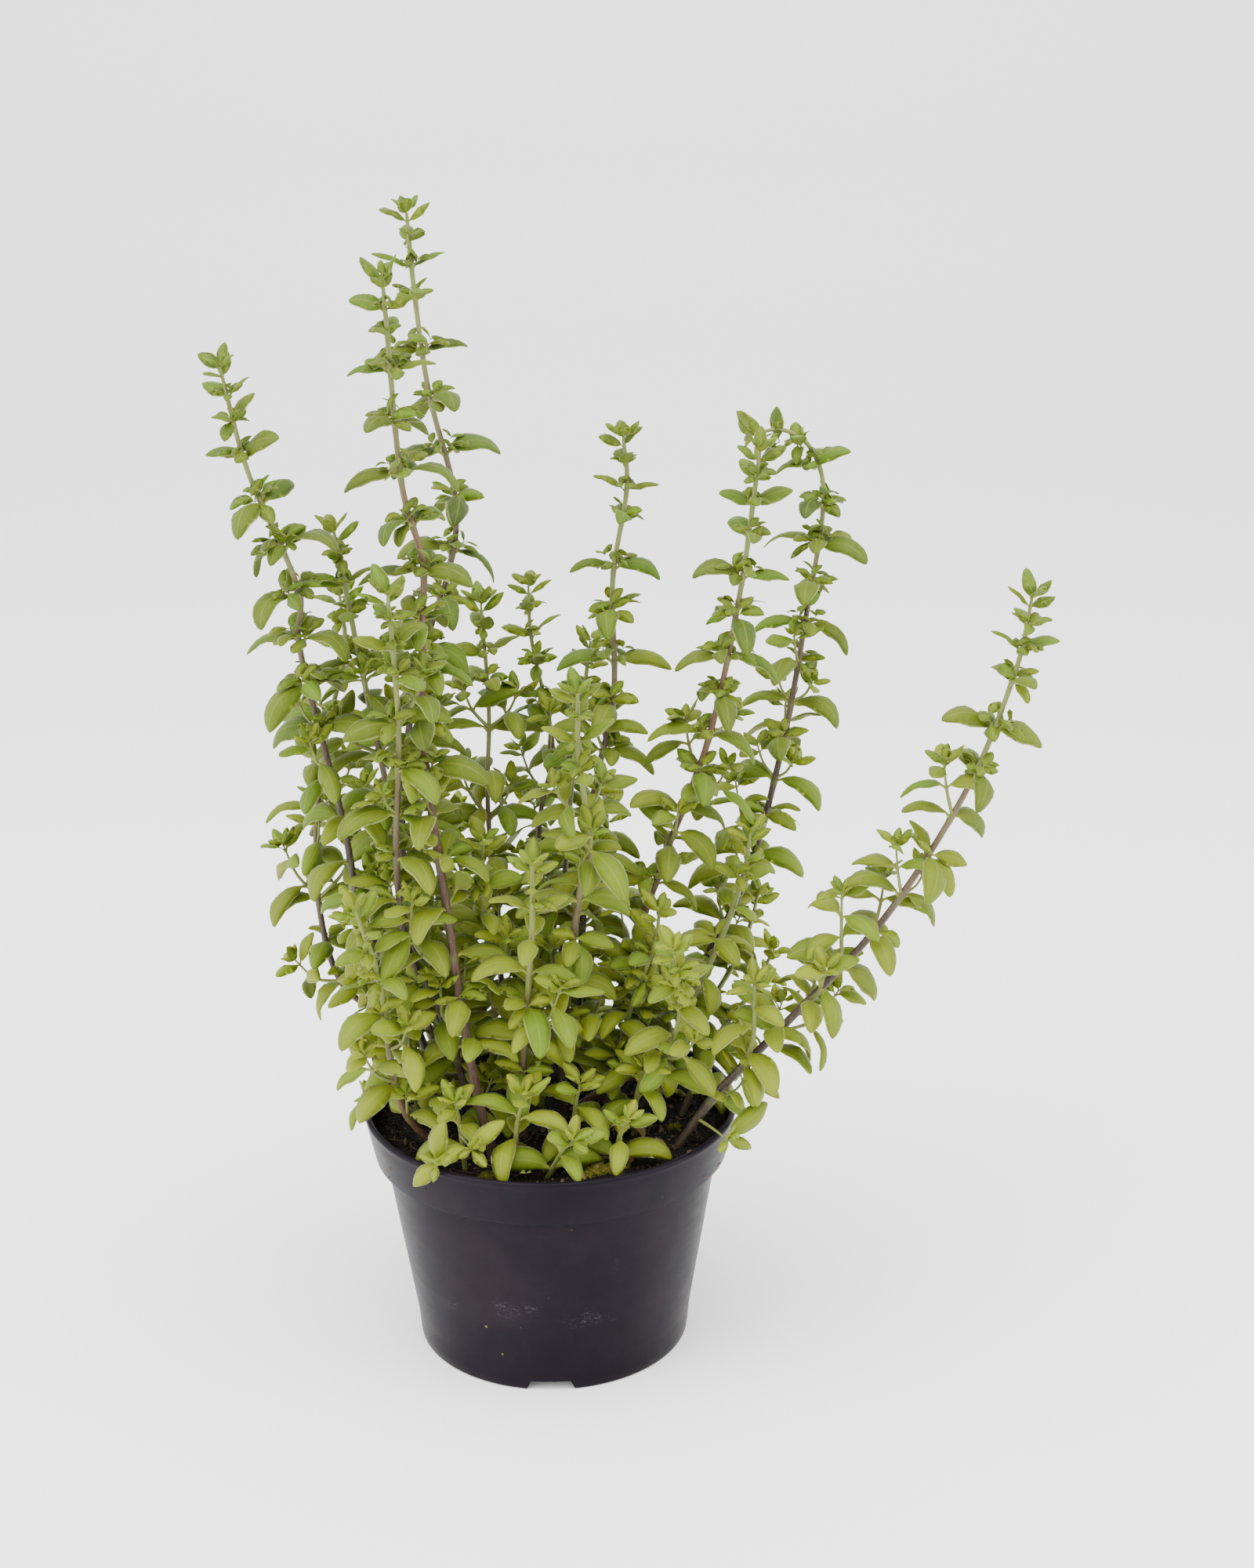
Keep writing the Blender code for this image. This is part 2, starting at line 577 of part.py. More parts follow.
def inside_pot(solid):
    """Whether a leaf dips into the soil or the pot's wall."""
    for point in solid[0]:
        radius = math.hypot(point.x, point.y)
        if radius < RIM_RADIUS - 4.0 and point.z < SOIL_TOP + 2.2:
            return True
        if RIM_RADIUS - 4.0 <= radius < RIM_RADIUS + 1.0 and point.z < POT_HEIGHT + 1.0:
            return True
        if radius >= RIM_RADIUS + 1.0 and point.z < SOIL_TOP - 14.0:
            return True
    middle = solid[0][0].lerp(solid[0][-1], 0.5)
    return math.hypot(middle.x, middle.y) < RIM_RADIUS + 1.0 and middle.z < SOIL_TOP + 1.0


def settle_leaf(leaf, others, own):
    """Turn, lift or shorten a leaf until it is clear of everything near it."""
    for turn, lift, scale in TRIES:
        tried = dict(leaf, azimuth=leaf["azimuth"] + turn, rise=leaf["rise"] + lift,
                     droop=leaf["droop"] + lift, length=leaf["length"] * scale)
        whole = leaf_solid(tried, CLEAR)
        if inside_pot(whole) or hits(whole, others):
            continue
        if not hits(leaf_solid(tried, 0.1, True), own):
            return tried
    return None


def stem_route(stem):
    if "start" in stem:
        return smooth_route([stem["start"], *stem["points"]])
    root = Vector((*stem["root"], SOIL_TOP))
    first = Vector(stem["points"][0])
    foot = root - (first - root) * (ROOT_DEPTH / (first.z - root.z))
    return smooth_route([foot, *stem["points"]])


def plan_stems():
    """Every stem's solids: its own tube first, then the leaves that find room."""
    plans = []
    for number, (name, stem) in enumerate([*STEMS.items(), *SIDE_SHOOTS.items()]):
        route = stem_route(stem)
        lengths = route_lengths(route)
        stations = stem_stations(route, lengths)
        tube = stem_solid(stations, stem["girth"], stem["turn"])
        plans.append({"name": name, "stem": stem, "route": route, "lengths": lengths,
                      "stations": stations, "tube": tube, "draw": random.Random(100 + number),
                      "leaves": []})
    for plan in plans:
        plan["things"] = [thing(plan["tube"])]
    for plan in plans:
        others = [item for other in plans if other["name"] != plan["name"]
                  for item in other["things"]]
        own = [item for other in plans if other["name"] == plan["name"]
               for item in other.get("blades", [])]
        plan["blades"] = []
        for leaf in wanted_leaves(plan["stem"], plan, plan["draw"]):
            settled = settle_leaf(leaf, others, own)
            if settled:
                plan["leaves"].append(settled)
                plan["things"].append(thing(leaf_solid(settled)))
                blade = thing(leaf_solid(settled, 0.0, True))
                plan["blades"].append(blade)
                own.append(blade)
    return plans


def keep_outer_skin(mesh):
    """Drop sealed hollows and loose scraps, so that one closed skin is left."""
    shape = bmesh.new()
    shape.from_mesh(mesh)
    loose = set(shape.verts)
    skins = []
    while loose:
        skin = {loose.pop()}
        edge = list(skin)
        while edge:
            for link in edge.pop().link_edges:
                for vertex in link.verts:
                    if vertex not in skin:
                        skin.add(vertex)
                        edge.append(vertex)
        loose -= skin
        skins.append(skin)
    skins.sort(key=len)
    for skin in skins[:-1]:
        bmesh.ops.delete(shape, geom=list(skin), context="VERTS")
    shape.to_mesh(mesh)
    shape.free()


def fuse(name, solids, surface, parent):
    """Join a tube and its leaves into one closed body with one Boolean union."""
    body = add_object(name, *solids[0], surface)
    leaves = bpy.data.collections.new(name + "_leaves")
    for vertices, faces in solids[1:]:
        leaf = add_object(name + "_leaf", vertices, faces)
        bpy.context.scene.collection.objects.unlink(leaf)
        leaves.objects.link(leaf)
    union = body.modifiers.new("leaves", "BOOLEAN")
    union.operation = "UNION"
    union.operand_type = "COLLECTION"
    union.collection = leaves
    union.solver = "MANIFOLD"
    bpy.context.view_layer.update()
    shaped = body.evaluated_get(bpy.context.evaluated_depsgraph_get())
    mesh = bpy.data.meshes.new_from_object(shaped)
    body.modifiers.remove(union)
    old = body.data
    body.data = mesh
    bpy.data.meshes.remove(old)
    for leaf in list(leaves.objects):
        bpy.data.objects.remove(leaf, do_unlink=True)
    bpy.data.collections.remove(leaves)
    keep_outer_skin(body.data)
    body.parent = parent
    soften(body, 50.0)
    return body


def main():
    clear_scene()
    stand = bpy.data.objects.new("pot_axis", None)
    stand.location = (POT_AXIS[0] * MM, POT_AXIS[1] * MM, 0.0)
    bpy.context.scene.collection.objects.link(stand)
    plastic = material("black_pot_plastic", (0.036, 0.031, 0.038), 0.42)
    peat = material("peat_soil", (0.016, 0.011, 0.008), 0.95)
    grey_green = material("grey_green_leaf", (0.22, 0.32, 0.06), 0.6)
    bright_green = material("bright_green_leaf", (0.33, 0.42, 0.05), 0.6)
    build_pot(plastic, stand)
    plans = plan_stems()
    build_soil(peat, stand, plans)
    for name, stem in STEMS.items():
        solids = []
        for plan in plans:
            if plan["name"] == name:
                solids.append(plan["tube"])
                solids += [leaf_solid(leaf) for leaf in plan["leaves"]]
        low = stem["points"][-1][2] < 200
        fuse(name, solids, bright_green if low else grey_green, stand)


main()
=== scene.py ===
# Potted oregano: leafy stems in a round nursery pot of peat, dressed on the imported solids.
# Plant sizes are in millimetres from the pot's axis, and become metres when a mesh is made.
import math
import random

import bmesh
import bpy
from mathutils import Matrix, Vector
from mathutils.bvhtree import BVHTree


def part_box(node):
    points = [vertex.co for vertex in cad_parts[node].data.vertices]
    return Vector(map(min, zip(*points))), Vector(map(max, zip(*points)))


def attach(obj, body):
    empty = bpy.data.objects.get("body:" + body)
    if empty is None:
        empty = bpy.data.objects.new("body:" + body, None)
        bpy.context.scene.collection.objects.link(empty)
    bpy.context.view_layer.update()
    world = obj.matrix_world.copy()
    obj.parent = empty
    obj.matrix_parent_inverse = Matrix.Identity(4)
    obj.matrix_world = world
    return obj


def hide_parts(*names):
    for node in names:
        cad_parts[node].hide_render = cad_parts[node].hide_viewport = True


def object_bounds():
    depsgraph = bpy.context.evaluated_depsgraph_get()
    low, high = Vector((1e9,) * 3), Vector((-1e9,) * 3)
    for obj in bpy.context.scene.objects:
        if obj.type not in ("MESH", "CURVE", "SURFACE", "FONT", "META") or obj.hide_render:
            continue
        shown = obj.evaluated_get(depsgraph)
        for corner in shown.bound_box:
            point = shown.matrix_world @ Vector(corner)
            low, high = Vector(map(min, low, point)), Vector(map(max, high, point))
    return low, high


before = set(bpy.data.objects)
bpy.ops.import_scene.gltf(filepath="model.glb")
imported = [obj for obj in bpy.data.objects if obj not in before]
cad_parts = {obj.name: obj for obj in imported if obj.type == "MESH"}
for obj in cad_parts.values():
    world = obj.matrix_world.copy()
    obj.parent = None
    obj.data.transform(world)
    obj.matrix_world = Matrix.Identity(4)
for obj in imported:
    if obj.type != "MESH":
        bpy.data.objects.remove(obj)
solidBox = [list(corner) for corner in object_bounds()]
mm = 0.001
potLow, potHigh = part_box("pot")
potAxis = Vector(((potLow.x + potHigh.x) / 2, (potLow.y + potHigh.y) / 2, 0.0))
print("frame loaded, nodes:", len(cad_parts))


def inPlace(point):
    # millimetres from the pot's axis to metres in the part's own frame
    return potAxis + Vector(point) * mm


def linear(code):
    # sRGB hex to linear colour
    parts = [int(code[i:i + 2], 16) / 255 for i in (1, 3, 5)]
    return (*[p / 12.92 if p <= 0.04045 else ((p + 0.055) / 1.055) ** 2.4 for p in parts], 1.0)


def addNode(tree, kind, inputs=(), **settings):
    # one node with its settings; an input is a value, a socket, or a node whose first output is meant
    node = tree.nodes.new(kind)
    for label, value in settings.items():
        setattr(node, label, value)
    pairs = inputs.items() if isinstance(inputs, dict) else enumerate(inputs)
    for label, value in pairs:
        if isinstance(value, bpy.types.Node):
            value = value.outputs[0]
        if isinstance(value, bpy.types.NodeSocket):
            tree.links.new(value, node.inputs[label])
        elif value is not None:
            node.inputs[label].default_value = value
    return node


def setRamp(node, stops):
    # colour stops of a ramp, as place and sRGB hex, or place and grey value
    elements = node.color_ramp.elements
    while len(elements) < len(stops):
        elements.new(0.5)
    for element, (place, colour) in zip(elements, stops):
        element.position = place
        element.color = linear(colour) if isinstance(colour, str) else (colour, colour, colour, 1.0)
    return node


def newMaterial(name, sockets):
    # constant values go on the shader's own sockets
    made = bpy.data.materials.new(name)
    made.use_nodes = True
    shader = made.node_tree.nodes["Principled BSDF"]
    for label, value in sockets.items():
        shader.inputs[label].default_value = value
    return made, made.node_tree, shader


def newTree(name, sizes):
    # an empty Geometry Nodes tree with a geometry input and named inputs
    tree = bpy.data.node_groups.new(name, "GeometryNodeTree")
    for label, kind in {"Geometry": "Geometry", **sizes}.items():
        tree.interface.new_socket(label, in_out="INPUT", socket_type="NodeSocket" + kind)
    tree.interface.new_socket("Geometry", in_out="OUTPUT", socket_type="NodeSocketGeometry")
    return tree, addNode(tree, "NodeGroupInput").outputs


def runTree(tree, source, values, name):
    # the tree's inputs are set by identifier, and its result is kept as a plain mesh
    modifier = source.modifiers.new(tree.name, "NODES")
    modifier.node_group = tree
    for item in tree.interface.items_tree:
        if item.in_out == "INPUT" and item.name in values:
            modifier[item.identifier] = values[item.name]
    bpy.context.view_layer.update()
    ready = source.evaluated_get(bpy.context.evaluated_depsgraph_get())
    mesh = bpy.data.meshes.new_from_object(ready)
    source.modifiers.remove(modifier)
    bpy.data.objects.remove(source, do_unlink=True)
    return addPiece(name, mesh)


def addPiece(name, mesh):
    mesh.name = name
    piece = bpy.data.objects.new(name, mesh)
    bpy.context.scene.collection.objects.link(piece)
    return piece


def meshFrom(name, vertices, faces, edges=()):
    mesh = bpy.data.meshes.new(name)
    mesh.from_pydata([Vector(v) for v in vertices], edges, faces)
    return mesh


def addAttribute(mesh, name, kind, values):
    made = mesh.attributes.new(name, kind, "POINT")
    if kind == "FLOAT_VECTOR":
        made.data.foreach_set("vector", [axis for value in values for axis in value])
    else:
        made.data.foreach_set("value", values)


# Camera: placed from the pot's lip, foot and band as the photograph shows them.
cameraLook = {"place": (27.4, -751.1, 440.4), "down": 17.6, "roll": -0.4, "lens": 54.0, "sensor": 36.0}


def placeCamera(look):
    down = math.radians(look["down"])
    roll = math.radians(look["roll"])
    ahead = Vector((0, math.cos(down), -math.sin(down)))
    right = Vector((1, 0, 0))
    above = right.cross(ahead)
    rolledRight = right * math.cos(roll) + above * math.sin(roll)
    rolledUp = above * math.cos(roll) - right * math.sin(roll)
    data = bpy.data.cameras.new("camera")
    data.lens = look["lens"]
    data.sensor_width = look["sensor"]
    data.clip_start = 0.01
    camera = bpy.data.objects.new("camera", data)
    bpy.context.scene.collection.objects.link(camera)
    turn = Matrix((rolledRight, rolledUp, -ahead)).transposed().to_4x4()
    turn.translation = inPlace(look["place"])
    camera.matrix_world = turn
    bpy.context.scene.camera = camera


placeCamera(cameraLook)
print("camera placed")

# Stems. Each has the place where it leaves the soil, the points that it passes through up to its
# tip, its radius at the root and the tip, the bare length above the root, the length of a full
# leaf, the distance between pairs of leaves, and the direction of the pair at the tip in degrees.
stems = {
    "stem_tall_back": {
        "root": (-24, 14), "girth": (1.6, 0.8), "bare": 45, "leaf": 22.0, "gap": 17, "turn": 20,
        "points": [(-43, 18, 119), (-51, 23, 172), (-45, 29, 230), (-33, 33, 267),
                   (-30, 36, 292), (-38, 40, 327), (-42, 43, 359), (-44, 45, 386)]},
    "stem_tall_front": {
        "root": (-19, -30), "girth": (1.9, 0.8), "bare": 41, "leaf": 22.0, "gap": 16, "turn": 75,
        "points": [(-26, -28, 116), (-32, -25, 165), (-38, -22, 218), (-38, -19, 258),
                   (-37, -18, 282), (-43, -16, 307), (-46, -13, 352), (-47, -12, 370)]},
    "stem_left_inner": {
        "root": (-28, 2), "girth": (1.4, 0.8), "bare": 35, "leaf": 22.0, "gap": 16, "turn": 5,
        "points": [(-38, 0, 123), (-51, -3, 193), (-59, -6, 243), (-66, -8, 290)]},
    "stem_left_front": {
        "root": (-26, -10), "girth": (1.5, 0.9), "bare": 34, "leaf": 23.0, "gap": 16, "turn": 30,
        "points": [(-34, -16, 121), (-46, -22, 153), (-48, -27, 188), (-45, -34, 232),
                   (-46, -42, 277)]},
    "stem_left_back": {
        "root": (-32, 16), "girth": (1.5, 0.8), "bare": 42, "leaf": 22.0, "gap": 16, "turn": 0,
        "points": [(-52, 20, 105), (-74, 23, 121), (-82, 28, 155), (-79, 33, 201),
                   (-70, 37, 238), (-71, 40, 258)]},
    "stem_left_outer": {
        "root": (-36, 3), "girth": (1.5, 0.7), "bare": 37, "leaf": 22.0, "gap": 16, "turn": 60,
        "points": [(-46, -1, 115), (-62, -7, 158), (-67, -13, 196), (-77, -20, 254),
                   (-76, -24, 275), (-89, -29, 313), (-95, -34, 346)]},
    "stem_left_low": {
        "root": (-38, -21), "girth": (1.5, 0.8), "bare": 18, "leaf": 21.0, "gap": 14, "turn": 40,
        "points": [(-48, -25, 93), (-52, -31, 116), (-54, -37, 147), (-60, -44, 174)]},
    "stem_middle_back": {
        "root": (-14, 34), "girth": (1.4, 0.7), "bare": 30, "leaf": 23.5, "gap": 16, "turn": 15,
        "points": [(-18, 36, 111), (-22, 42, 178), (-21, 45, 215), (-23, 48, 253)]},
    "stem_centre_back": {
        "root": (-2, 43), "girth": (1.4, 0.7), "bare": 34, "leaf": 21.0, "gap": 16, "turn": 0,
        "points": [(-5, 45, 114), (-4, 51, 172), (1, 55, 199), (-6, 60, 236), (-7, 62, 256)]},
    "stem_centre_inner": {
        "root": (3, 29), "girth": (1.3, 0.7), "bare": 41, "leaf": 20.0, "gap": 16, "turn": 50,
        "points": [(3, 33, 118), (7, 41, 180), (15, 50, 239)]},
    "stem_centre_front": {
        "root": (4, -6), "girth": (1.5, 0.9), "bare": 27, "leaf": 22.0, "gap": 16, "turn": 10,
        "points": [(6, -12, 128), (12, -21, 174), (15, -24, 189), (12, -30, 222),
                   (12, -34, 243)]},
    "stem_right_inner": {
        "root": (10, 20), "girth": (1.5, 0.8), "bare": 42, "leaf": 21.0, "gap": 16, "turn": 0,
        "points": [(10, 21, 117), (15, 24, 185), (23, 26, 225), (23, 28, 265), (28, 30, 296),
                   (27, 30, 314)]},
    "stem_right_tall": {
        "root": (17, 15), "girth": (1.5, 0.8), "bare": 41, "leaf": 21.5, "gap": 14, "turn": 10,
        "points": [(24, 13, 120), (40, 11, 172), (55, 9, 215), (65, 7, 265), (71, 4, 313)]},
    "stem_right_bent": {
        "root": (25, 33), "girth": (1.6, 0.7), "bare": 45, "leaf": 22.0, "gap": 14, "turn": 70,
        "points": [(47, 35, 111), (69, 40, 152), (82, 44, 200), (90, 48, 246), (96, 52, 288),
                   (91, 54, 306), (81, 55, 312), (72, 56, 310)]},
    "stem_right_short": {
        "root": (32, 9), "girth": (1.4, 0.8), "bare": 20, "leaf": 21.0, "gap": 14, "turn": 25,
        "points": [(46, 7, 113), (60, 5, 146), (67, 3, 169), (69, 2, 184)]},
    "stem_right_outer": {
        "root": (44, -22), "girth": (1.7, 0.7), "bare": 22, "leaf": 22.0, "gap": 16, "turn": 15,
        "points": [(57, -23, 99), (79, -24, 124), (111, -26, 162), (137, -28, 208),
                   (151, -29, 248), (155, -30, 272)]},
    "stem_right_low": {
        "root": (7, 5), "girth": (1.4, 0.8), "bare": 24, "leaf": 21.0, "gap": 14, "turn": 35,
        "points": [(15, -4, 90), (34, -18, 108), (44, -29, 128), (42, -46, 160)]},
    "stem_front_short": {
        "root": (-9, -16), "girth": (1.4, 0.8), "bare": 24, "leaf": 21.5, "gap": 14, "turn": 5,
        "points": [(-8, -24, 113), (-4, -37, 162), (-3, -44, 189)]},
    "stem_middle_right": {
        "root": (19, 3), "girth": (1.3, 0.8), "bare": 26, "leaf": 21.0, "gap": 14, "turn": 60,
        "points": [(27, -2, 118), (36, -7, 146), (38, -10, 160)]},
    "stem_middle_left": {
        "root": (-13, 7), "girth": (1.3, 0.8), "bare": 28, "leaf": 21.5, "gap": 14, "turn": 15,
        "points": [(-19, -2, 121), (-21, -14, 172), (-20, -18, 188)]},
    "shoot_front_left": {
        "root": (-28, -37), "girth": (1.0, 0.7), "bare": 8, "leaf": 20.0, "gap": 13, "turn": 45,
        "points": [(-29, -41, 98), (-30, -44, 106)]},
    "shoot_front_round": {
        "root": (-11, -40), "girth": (1.1, 0.8), "bare": 8, "leaf": 23.0, "gap": 13, "turn": 80,
        "points": [(-10, -42, 96), (-7, -44, 109)]},
    "shoot_front_low": {
        "root": (0, -44), "girth": (1.0, 0.7), "bare": 6, "leaf": 21.0, "gap": 13, "turn": 20,
        "points": [(5, -50, 91), (9, -54, 97)]},
    "shoot_front_middle": {
        "root": (8, -28), "girth": (1.1, 0.7), "bare": 8, "leaf": 22.0, "gap": 13, "turn": 50,
        "points": [(9, -31, 96), (11, -34, 108)]},
    "shoot_front_right": {
        "root": (23, -38), "girth": (1.0, 0.7), "bare": 6, "leaf": 19.0, "gap": 13, "turn": 0,
        "points": [(24, -42, 93), (27, -45, 100)]},
    "shoot_right_inner": {
        "root": (29, -14), "girth": (1.1, 0.7), "bare": 8, "leaf": 22.0, "gap": 13, "turn": 30,
        "points": [(30, -20, 97), (33, -27, 111)]},
    "shoot_left_inner": {
        "root": (-46, -8), "girth": (1.1, 0.7), "bare": 8, "leaf": 22.0, "gap": 13, "turn": 15,
        "points": [(-46, -12, 101), (-48, -16, 122)]},
    "shoot_back_left": {
        "root": (-40, 28), "girth": (1.3, 0.8), "bare": 22, "leaf": 21.0, "gap": 15, "turn": 40,
        "points": [(-48, 40, 112), (-57, 54, 148), (-60, 60, 165)]},
    "shoot_back_outer": {
        "root": (-22, 44), "girth": (1.3, 0.8), "bare": 20, "leaf": 21.0, "gap": 15, "turn": 0,
        "points": [(-28, 55, 110), (-34, 68, 146), (-36, 74, 170)]},
    "shoot_back_middle": {
        "root": (10, 46), "girth": (1.3, 0.8), "bare": 20, "leaf": 21.0, "gap": 15, "turn": 60,
        "points": [(13, 58, 110), (19, 72, 148), (20, 78, 172)]},
    "shoot_back_right": {
        "root": (38, 22), "girth": (1.3, 0.8), "bare": 22, "leaf": 21.0, "gap": 13, "turn": 20,
        "points": [(54, 24, 108), (68, 32, 130), (74, 38, 148)]},
    "shoot_right_side": {
        "root": (46, 3), "girth": (1.2, 0.8), "bare": 16, "leaf": 20.0, "gap": 13, "turn": 70,
        "points": [(56, 5, 104), (70, 10, 122), (78, 14, 136)]},
}

# A side shoot grows out of another stem and belongs to it.
sideShoots = {
    "stem_right_outer": {
        "start": (66, -23.5, 109), "girth": (1.1, 0.8), "bare": 6, "leaf": 20.0, "gap": 14, "turn": 30,
        "points": [(69, -28, 122), (69, -33, 143)]},
}


stemLook = {
    "soilTop": 79.0,
    "rootDepth": 5.0,
    "step": 22.0,                  # straight stretches of the solid stem, which the leaves root in
    "swelling": 0.16,              # how much thicker a stem is where a pair of leaves grows
    "folds": (-0.72, -0.6, -0.5, -0.42, -0.34, -0.2),    # how far margins hang, over the half width
    "long": 1.1,                   # length of a leaf over its plain solid's,
    "broad": 0.9,                  # width of a full leaf in proportion,
    "youngBroad": 0.6,             # and how much broader in proportion the smallest leaves are
    "twist": 30.0,                 # degrees by which blades turn on their stalks to the light in front
}

leafLook = {
    "tipDistances": (3.5, 10.0, 18.5, 29.5),   # pairs of leaves, measured from the tip
    "youngLength": 56.0,           # stretch below the tip over which leaves grow to full size,
    "youngShare": 0.4,             # or this share of a short stem
    "tipLeaf": 0.42,               # length of the youngest leaf, as a share of a full one
    "rise": (66.0, 48.0),          # slope in degrees where a leaf begins: youngest, full grown
    "droop": (10.0, -78.0),        # slope where a leaf ends: youngest, full grown
    "lengthSpread": (0.88, 1.06),
    "turnSpread": 14.0,            # degrees by which leaves differ in turn, slopes and roll
    "riseSpread": 9.0,
    "droopSpread": 16.0,
    "rollSpread": 22.0,
    "halfWidth": 0.19,             # half width over length
    "ridge": 0.35,                 # how far the midrib stands above the arc that a leaf follows
    "hang": 0.42,                  # how far the margins hang below it, as a share of the half width
    "largeBlade": ((0.18, 0.25), (0.45, 1.05), (0.77, 0.8)),
    "smallBlade": ((0.36, 1.0), (0.74, 0.85)),
    "budBlade": ((0.48, 0.95),),
    "smallLeaf": 19.5,             # leaves shorter than this have a simpler outline,
    "budLeaf": 11.8,               # and those shorter than this the simplest
    "rootOffset": 0.28,
    "clear": 0.45,                 # room kept round a blade
    "tries": ((0, 0, 1.0), (14, 0, 1.0), (-14, 0, 1.0), (0, 14, 1.0), (0, -14, 1.0), (26, 6, 0.95),
              (-26, 6, 0.95), (16, -16, 0.9), (-16, -16, 0.9), (0, 22, 0.8), (34, 0, 0.8), (-34, 0, 0.8)),
    "rimRadius": 65.0,             # the pot's lip, which no leaf may cross
    "rimHeight": 87.0,
}

# Side twigs and tufts of small leaves, in the corners between leaves and their stem.
twigLook = {
    "from": 44.0,                  # distance below a stem's tip where twigs begin
    "below": 236.0,                # height under which twigs grow
    "chance": (0.52, 0.4),         # share of leaves that have one, low in the bush and high
    "length": (11.0, 30.0),
    "girth": (0.72, 0.5),
    "pairs": (2.5, 9.0, 17.0),
    "leaf": (18.5, 23.0),          # longest leaf of a twig
    "lowHeights": (3.0, 8.0, 14.0, 20.0, 26.0),   # above the soil, where bare stems may carry one
    "lowChance": 0.45,
    "lowLength": (9.0, 22.0),
    "rimPairs": (1.5, 13.0),
    # stem, height above the soil, direction in degrees and length of each twig that hangs over the rim
    "rim": (("stem_left_low", 5.0, 204.0, 27.0), ("shoot_front_left", 8.0, 246.0, 17.0),
            ("shoot_front_left", 12.0, 290.0, 13.0), ("shoot_front_round", 9.0, 262.0, 14.0),
            ("shoot_front_right", 7.0, 300.0, 15.0), ("stem_right_outer", 7.0, 338.0, 15.0),
            ("stem_right_outer", 12.0, 300.0, 17.0), ("shoot_left_inner", 7.0, 172.0, 17.0),
            ("shoot_back_left", 9.0, 140.0, 18.0), ("shoot_back_middle", 9.0, 78.0, 16.0)),
    "seed": 21,
}

tuftLook = {
    "from": 9.0,                   # distance below a stem's tip where they begin
    "size": (10.5, 15.0),          # longest leaf of a tuft, high on the plant
    "lowSize": (13.0, 19.0),       # and low in the bush
    "lowBelow": 200.0,             # height under which the larger size holds,
    "lowChance": 0.45,             # and this share of leaves has a tuft
    "shortest": 45.0,              # shoots shorter than this have none
    "lean": 0.62,                  # how far a tuft leans out with its leaf
    "seed": 9,
}


def smoothRoute(points, pieces=8):
    # points of a smooth curve through the given ones, closely spaced
    points = [Vector(p) for p in points]
    ends = [points[0] * 2 - points[1], *points, points[-1] * 2 - points[-2]]
    route = [points[0]]
    for p0, p1, p2, p3 in zip(ends, ends[1:], ends[2:], ends[3:]):
        for i in range(1, pieces + 1):
            t = i / pieces
            route.append(0.5 * (2 * p1 + (p2 - p0) * t + (2 * p0 - 5 * p1 + 4 * p2 - p3) * t ** 2
                                + (3 * p1 - p0 - 3 * p2 + p3) * t ** 3))
    return route


def routeLengths(route):
    lengths = [0.0]
    for a, b in zip(route, route[1:]):
        lengths.append(lengths[-1] + (b - a).length)
    return lengths


def placeOn(route, lengths, distance):
    # the point and direction at a distance along the route
    distance = min(max(distance, 0.0), lengths[-1])
    for i in range(1, len(route)):
        if lengths[i] >= distance:
            break
    share = (distance - lengths[i - 1]) / (lengths[i] - lengths[i - 1])
    return route[i - 1].lerp(route[i], share), (route[i] - route[i - 1]).normalized()


def sideOf(direction, degrees):
    # a unit vector square to the direction, turned from the +X side round it
    first = Vector((1, 0, 0)) - direction * direction.x
    first.normalize()
    second = direction.cross(first)
    turn = math.radians(degrees)
    return first * math.cos(turn) + second * math.sin(turn)


def tubeSolid(stations, girth, turn):
    # the plain square stem, used only to keep leaves clear of it
    count = len(stations) - 1
    vertices = []
    for i, (centre, direction) in enumerate(stations):
        radius = girth[0] + (girth[1] - girth[0]) * i / count
        for corner in range(4):
            vertices.append(centre + sideOf(direction, turn + 45 + 90 * corner) * radius)
    tip, direction = stations[-1]
    vertices.append(tip + direction * girth[1] * 1.5)
    faces = [[0, 3, 2], [0, 2, 1]]
    for i in range(count):
        low = 4 * i
        for corner in range(4):
            after = (corner + 1) % 4
            faces.append([low + corner, low + after, low + 4 + after])
            faces.append([low + corner, low + 4 + after, low + 4 + corner])
    for corner in range(4):
        faces.append([4 * count + corner, 4 * count + (corner + 1) % 4, len(vertices) - 1])
    return vertices, faces


def leafFrame(leaf):
    # outward, upward and sideways directions of a leaf, after its own turn and roll
    out = sideOf(leaf["direction"], leaf["azimuth"])
    rise = leaf["direction"] + Vector((0, 0, 1))
    rise -= out * rise.dot(out)
    rise.normalize()
    across = out.cross(rise)
    roll = math.radians(leaf["roll"])
    return (out, rise * math.cos(roll) + across * math.sin(roll),
            across * math.cos(roll) - rise * math.sin(roll))


def leafPoint(leaf, axes, share):
    # the midrib's place and the blade's upper side at a share of the leaf's length
    out, rise, _ = axes
    start = math.radians(leaf["rise"])
    bend = math.radians(leaf["droop"]) - start
    angle = start + bend * share
    run = (math.sin(angle) - math.sin(start)) / bend
    climb = (math.cos(start) - math.cos(angle)) / bend
    place = leaf["root"] + (out * run + rise * climb) * leaf["length"]
    return place, rise * math.cos(angle) - out * math.sin(angle)


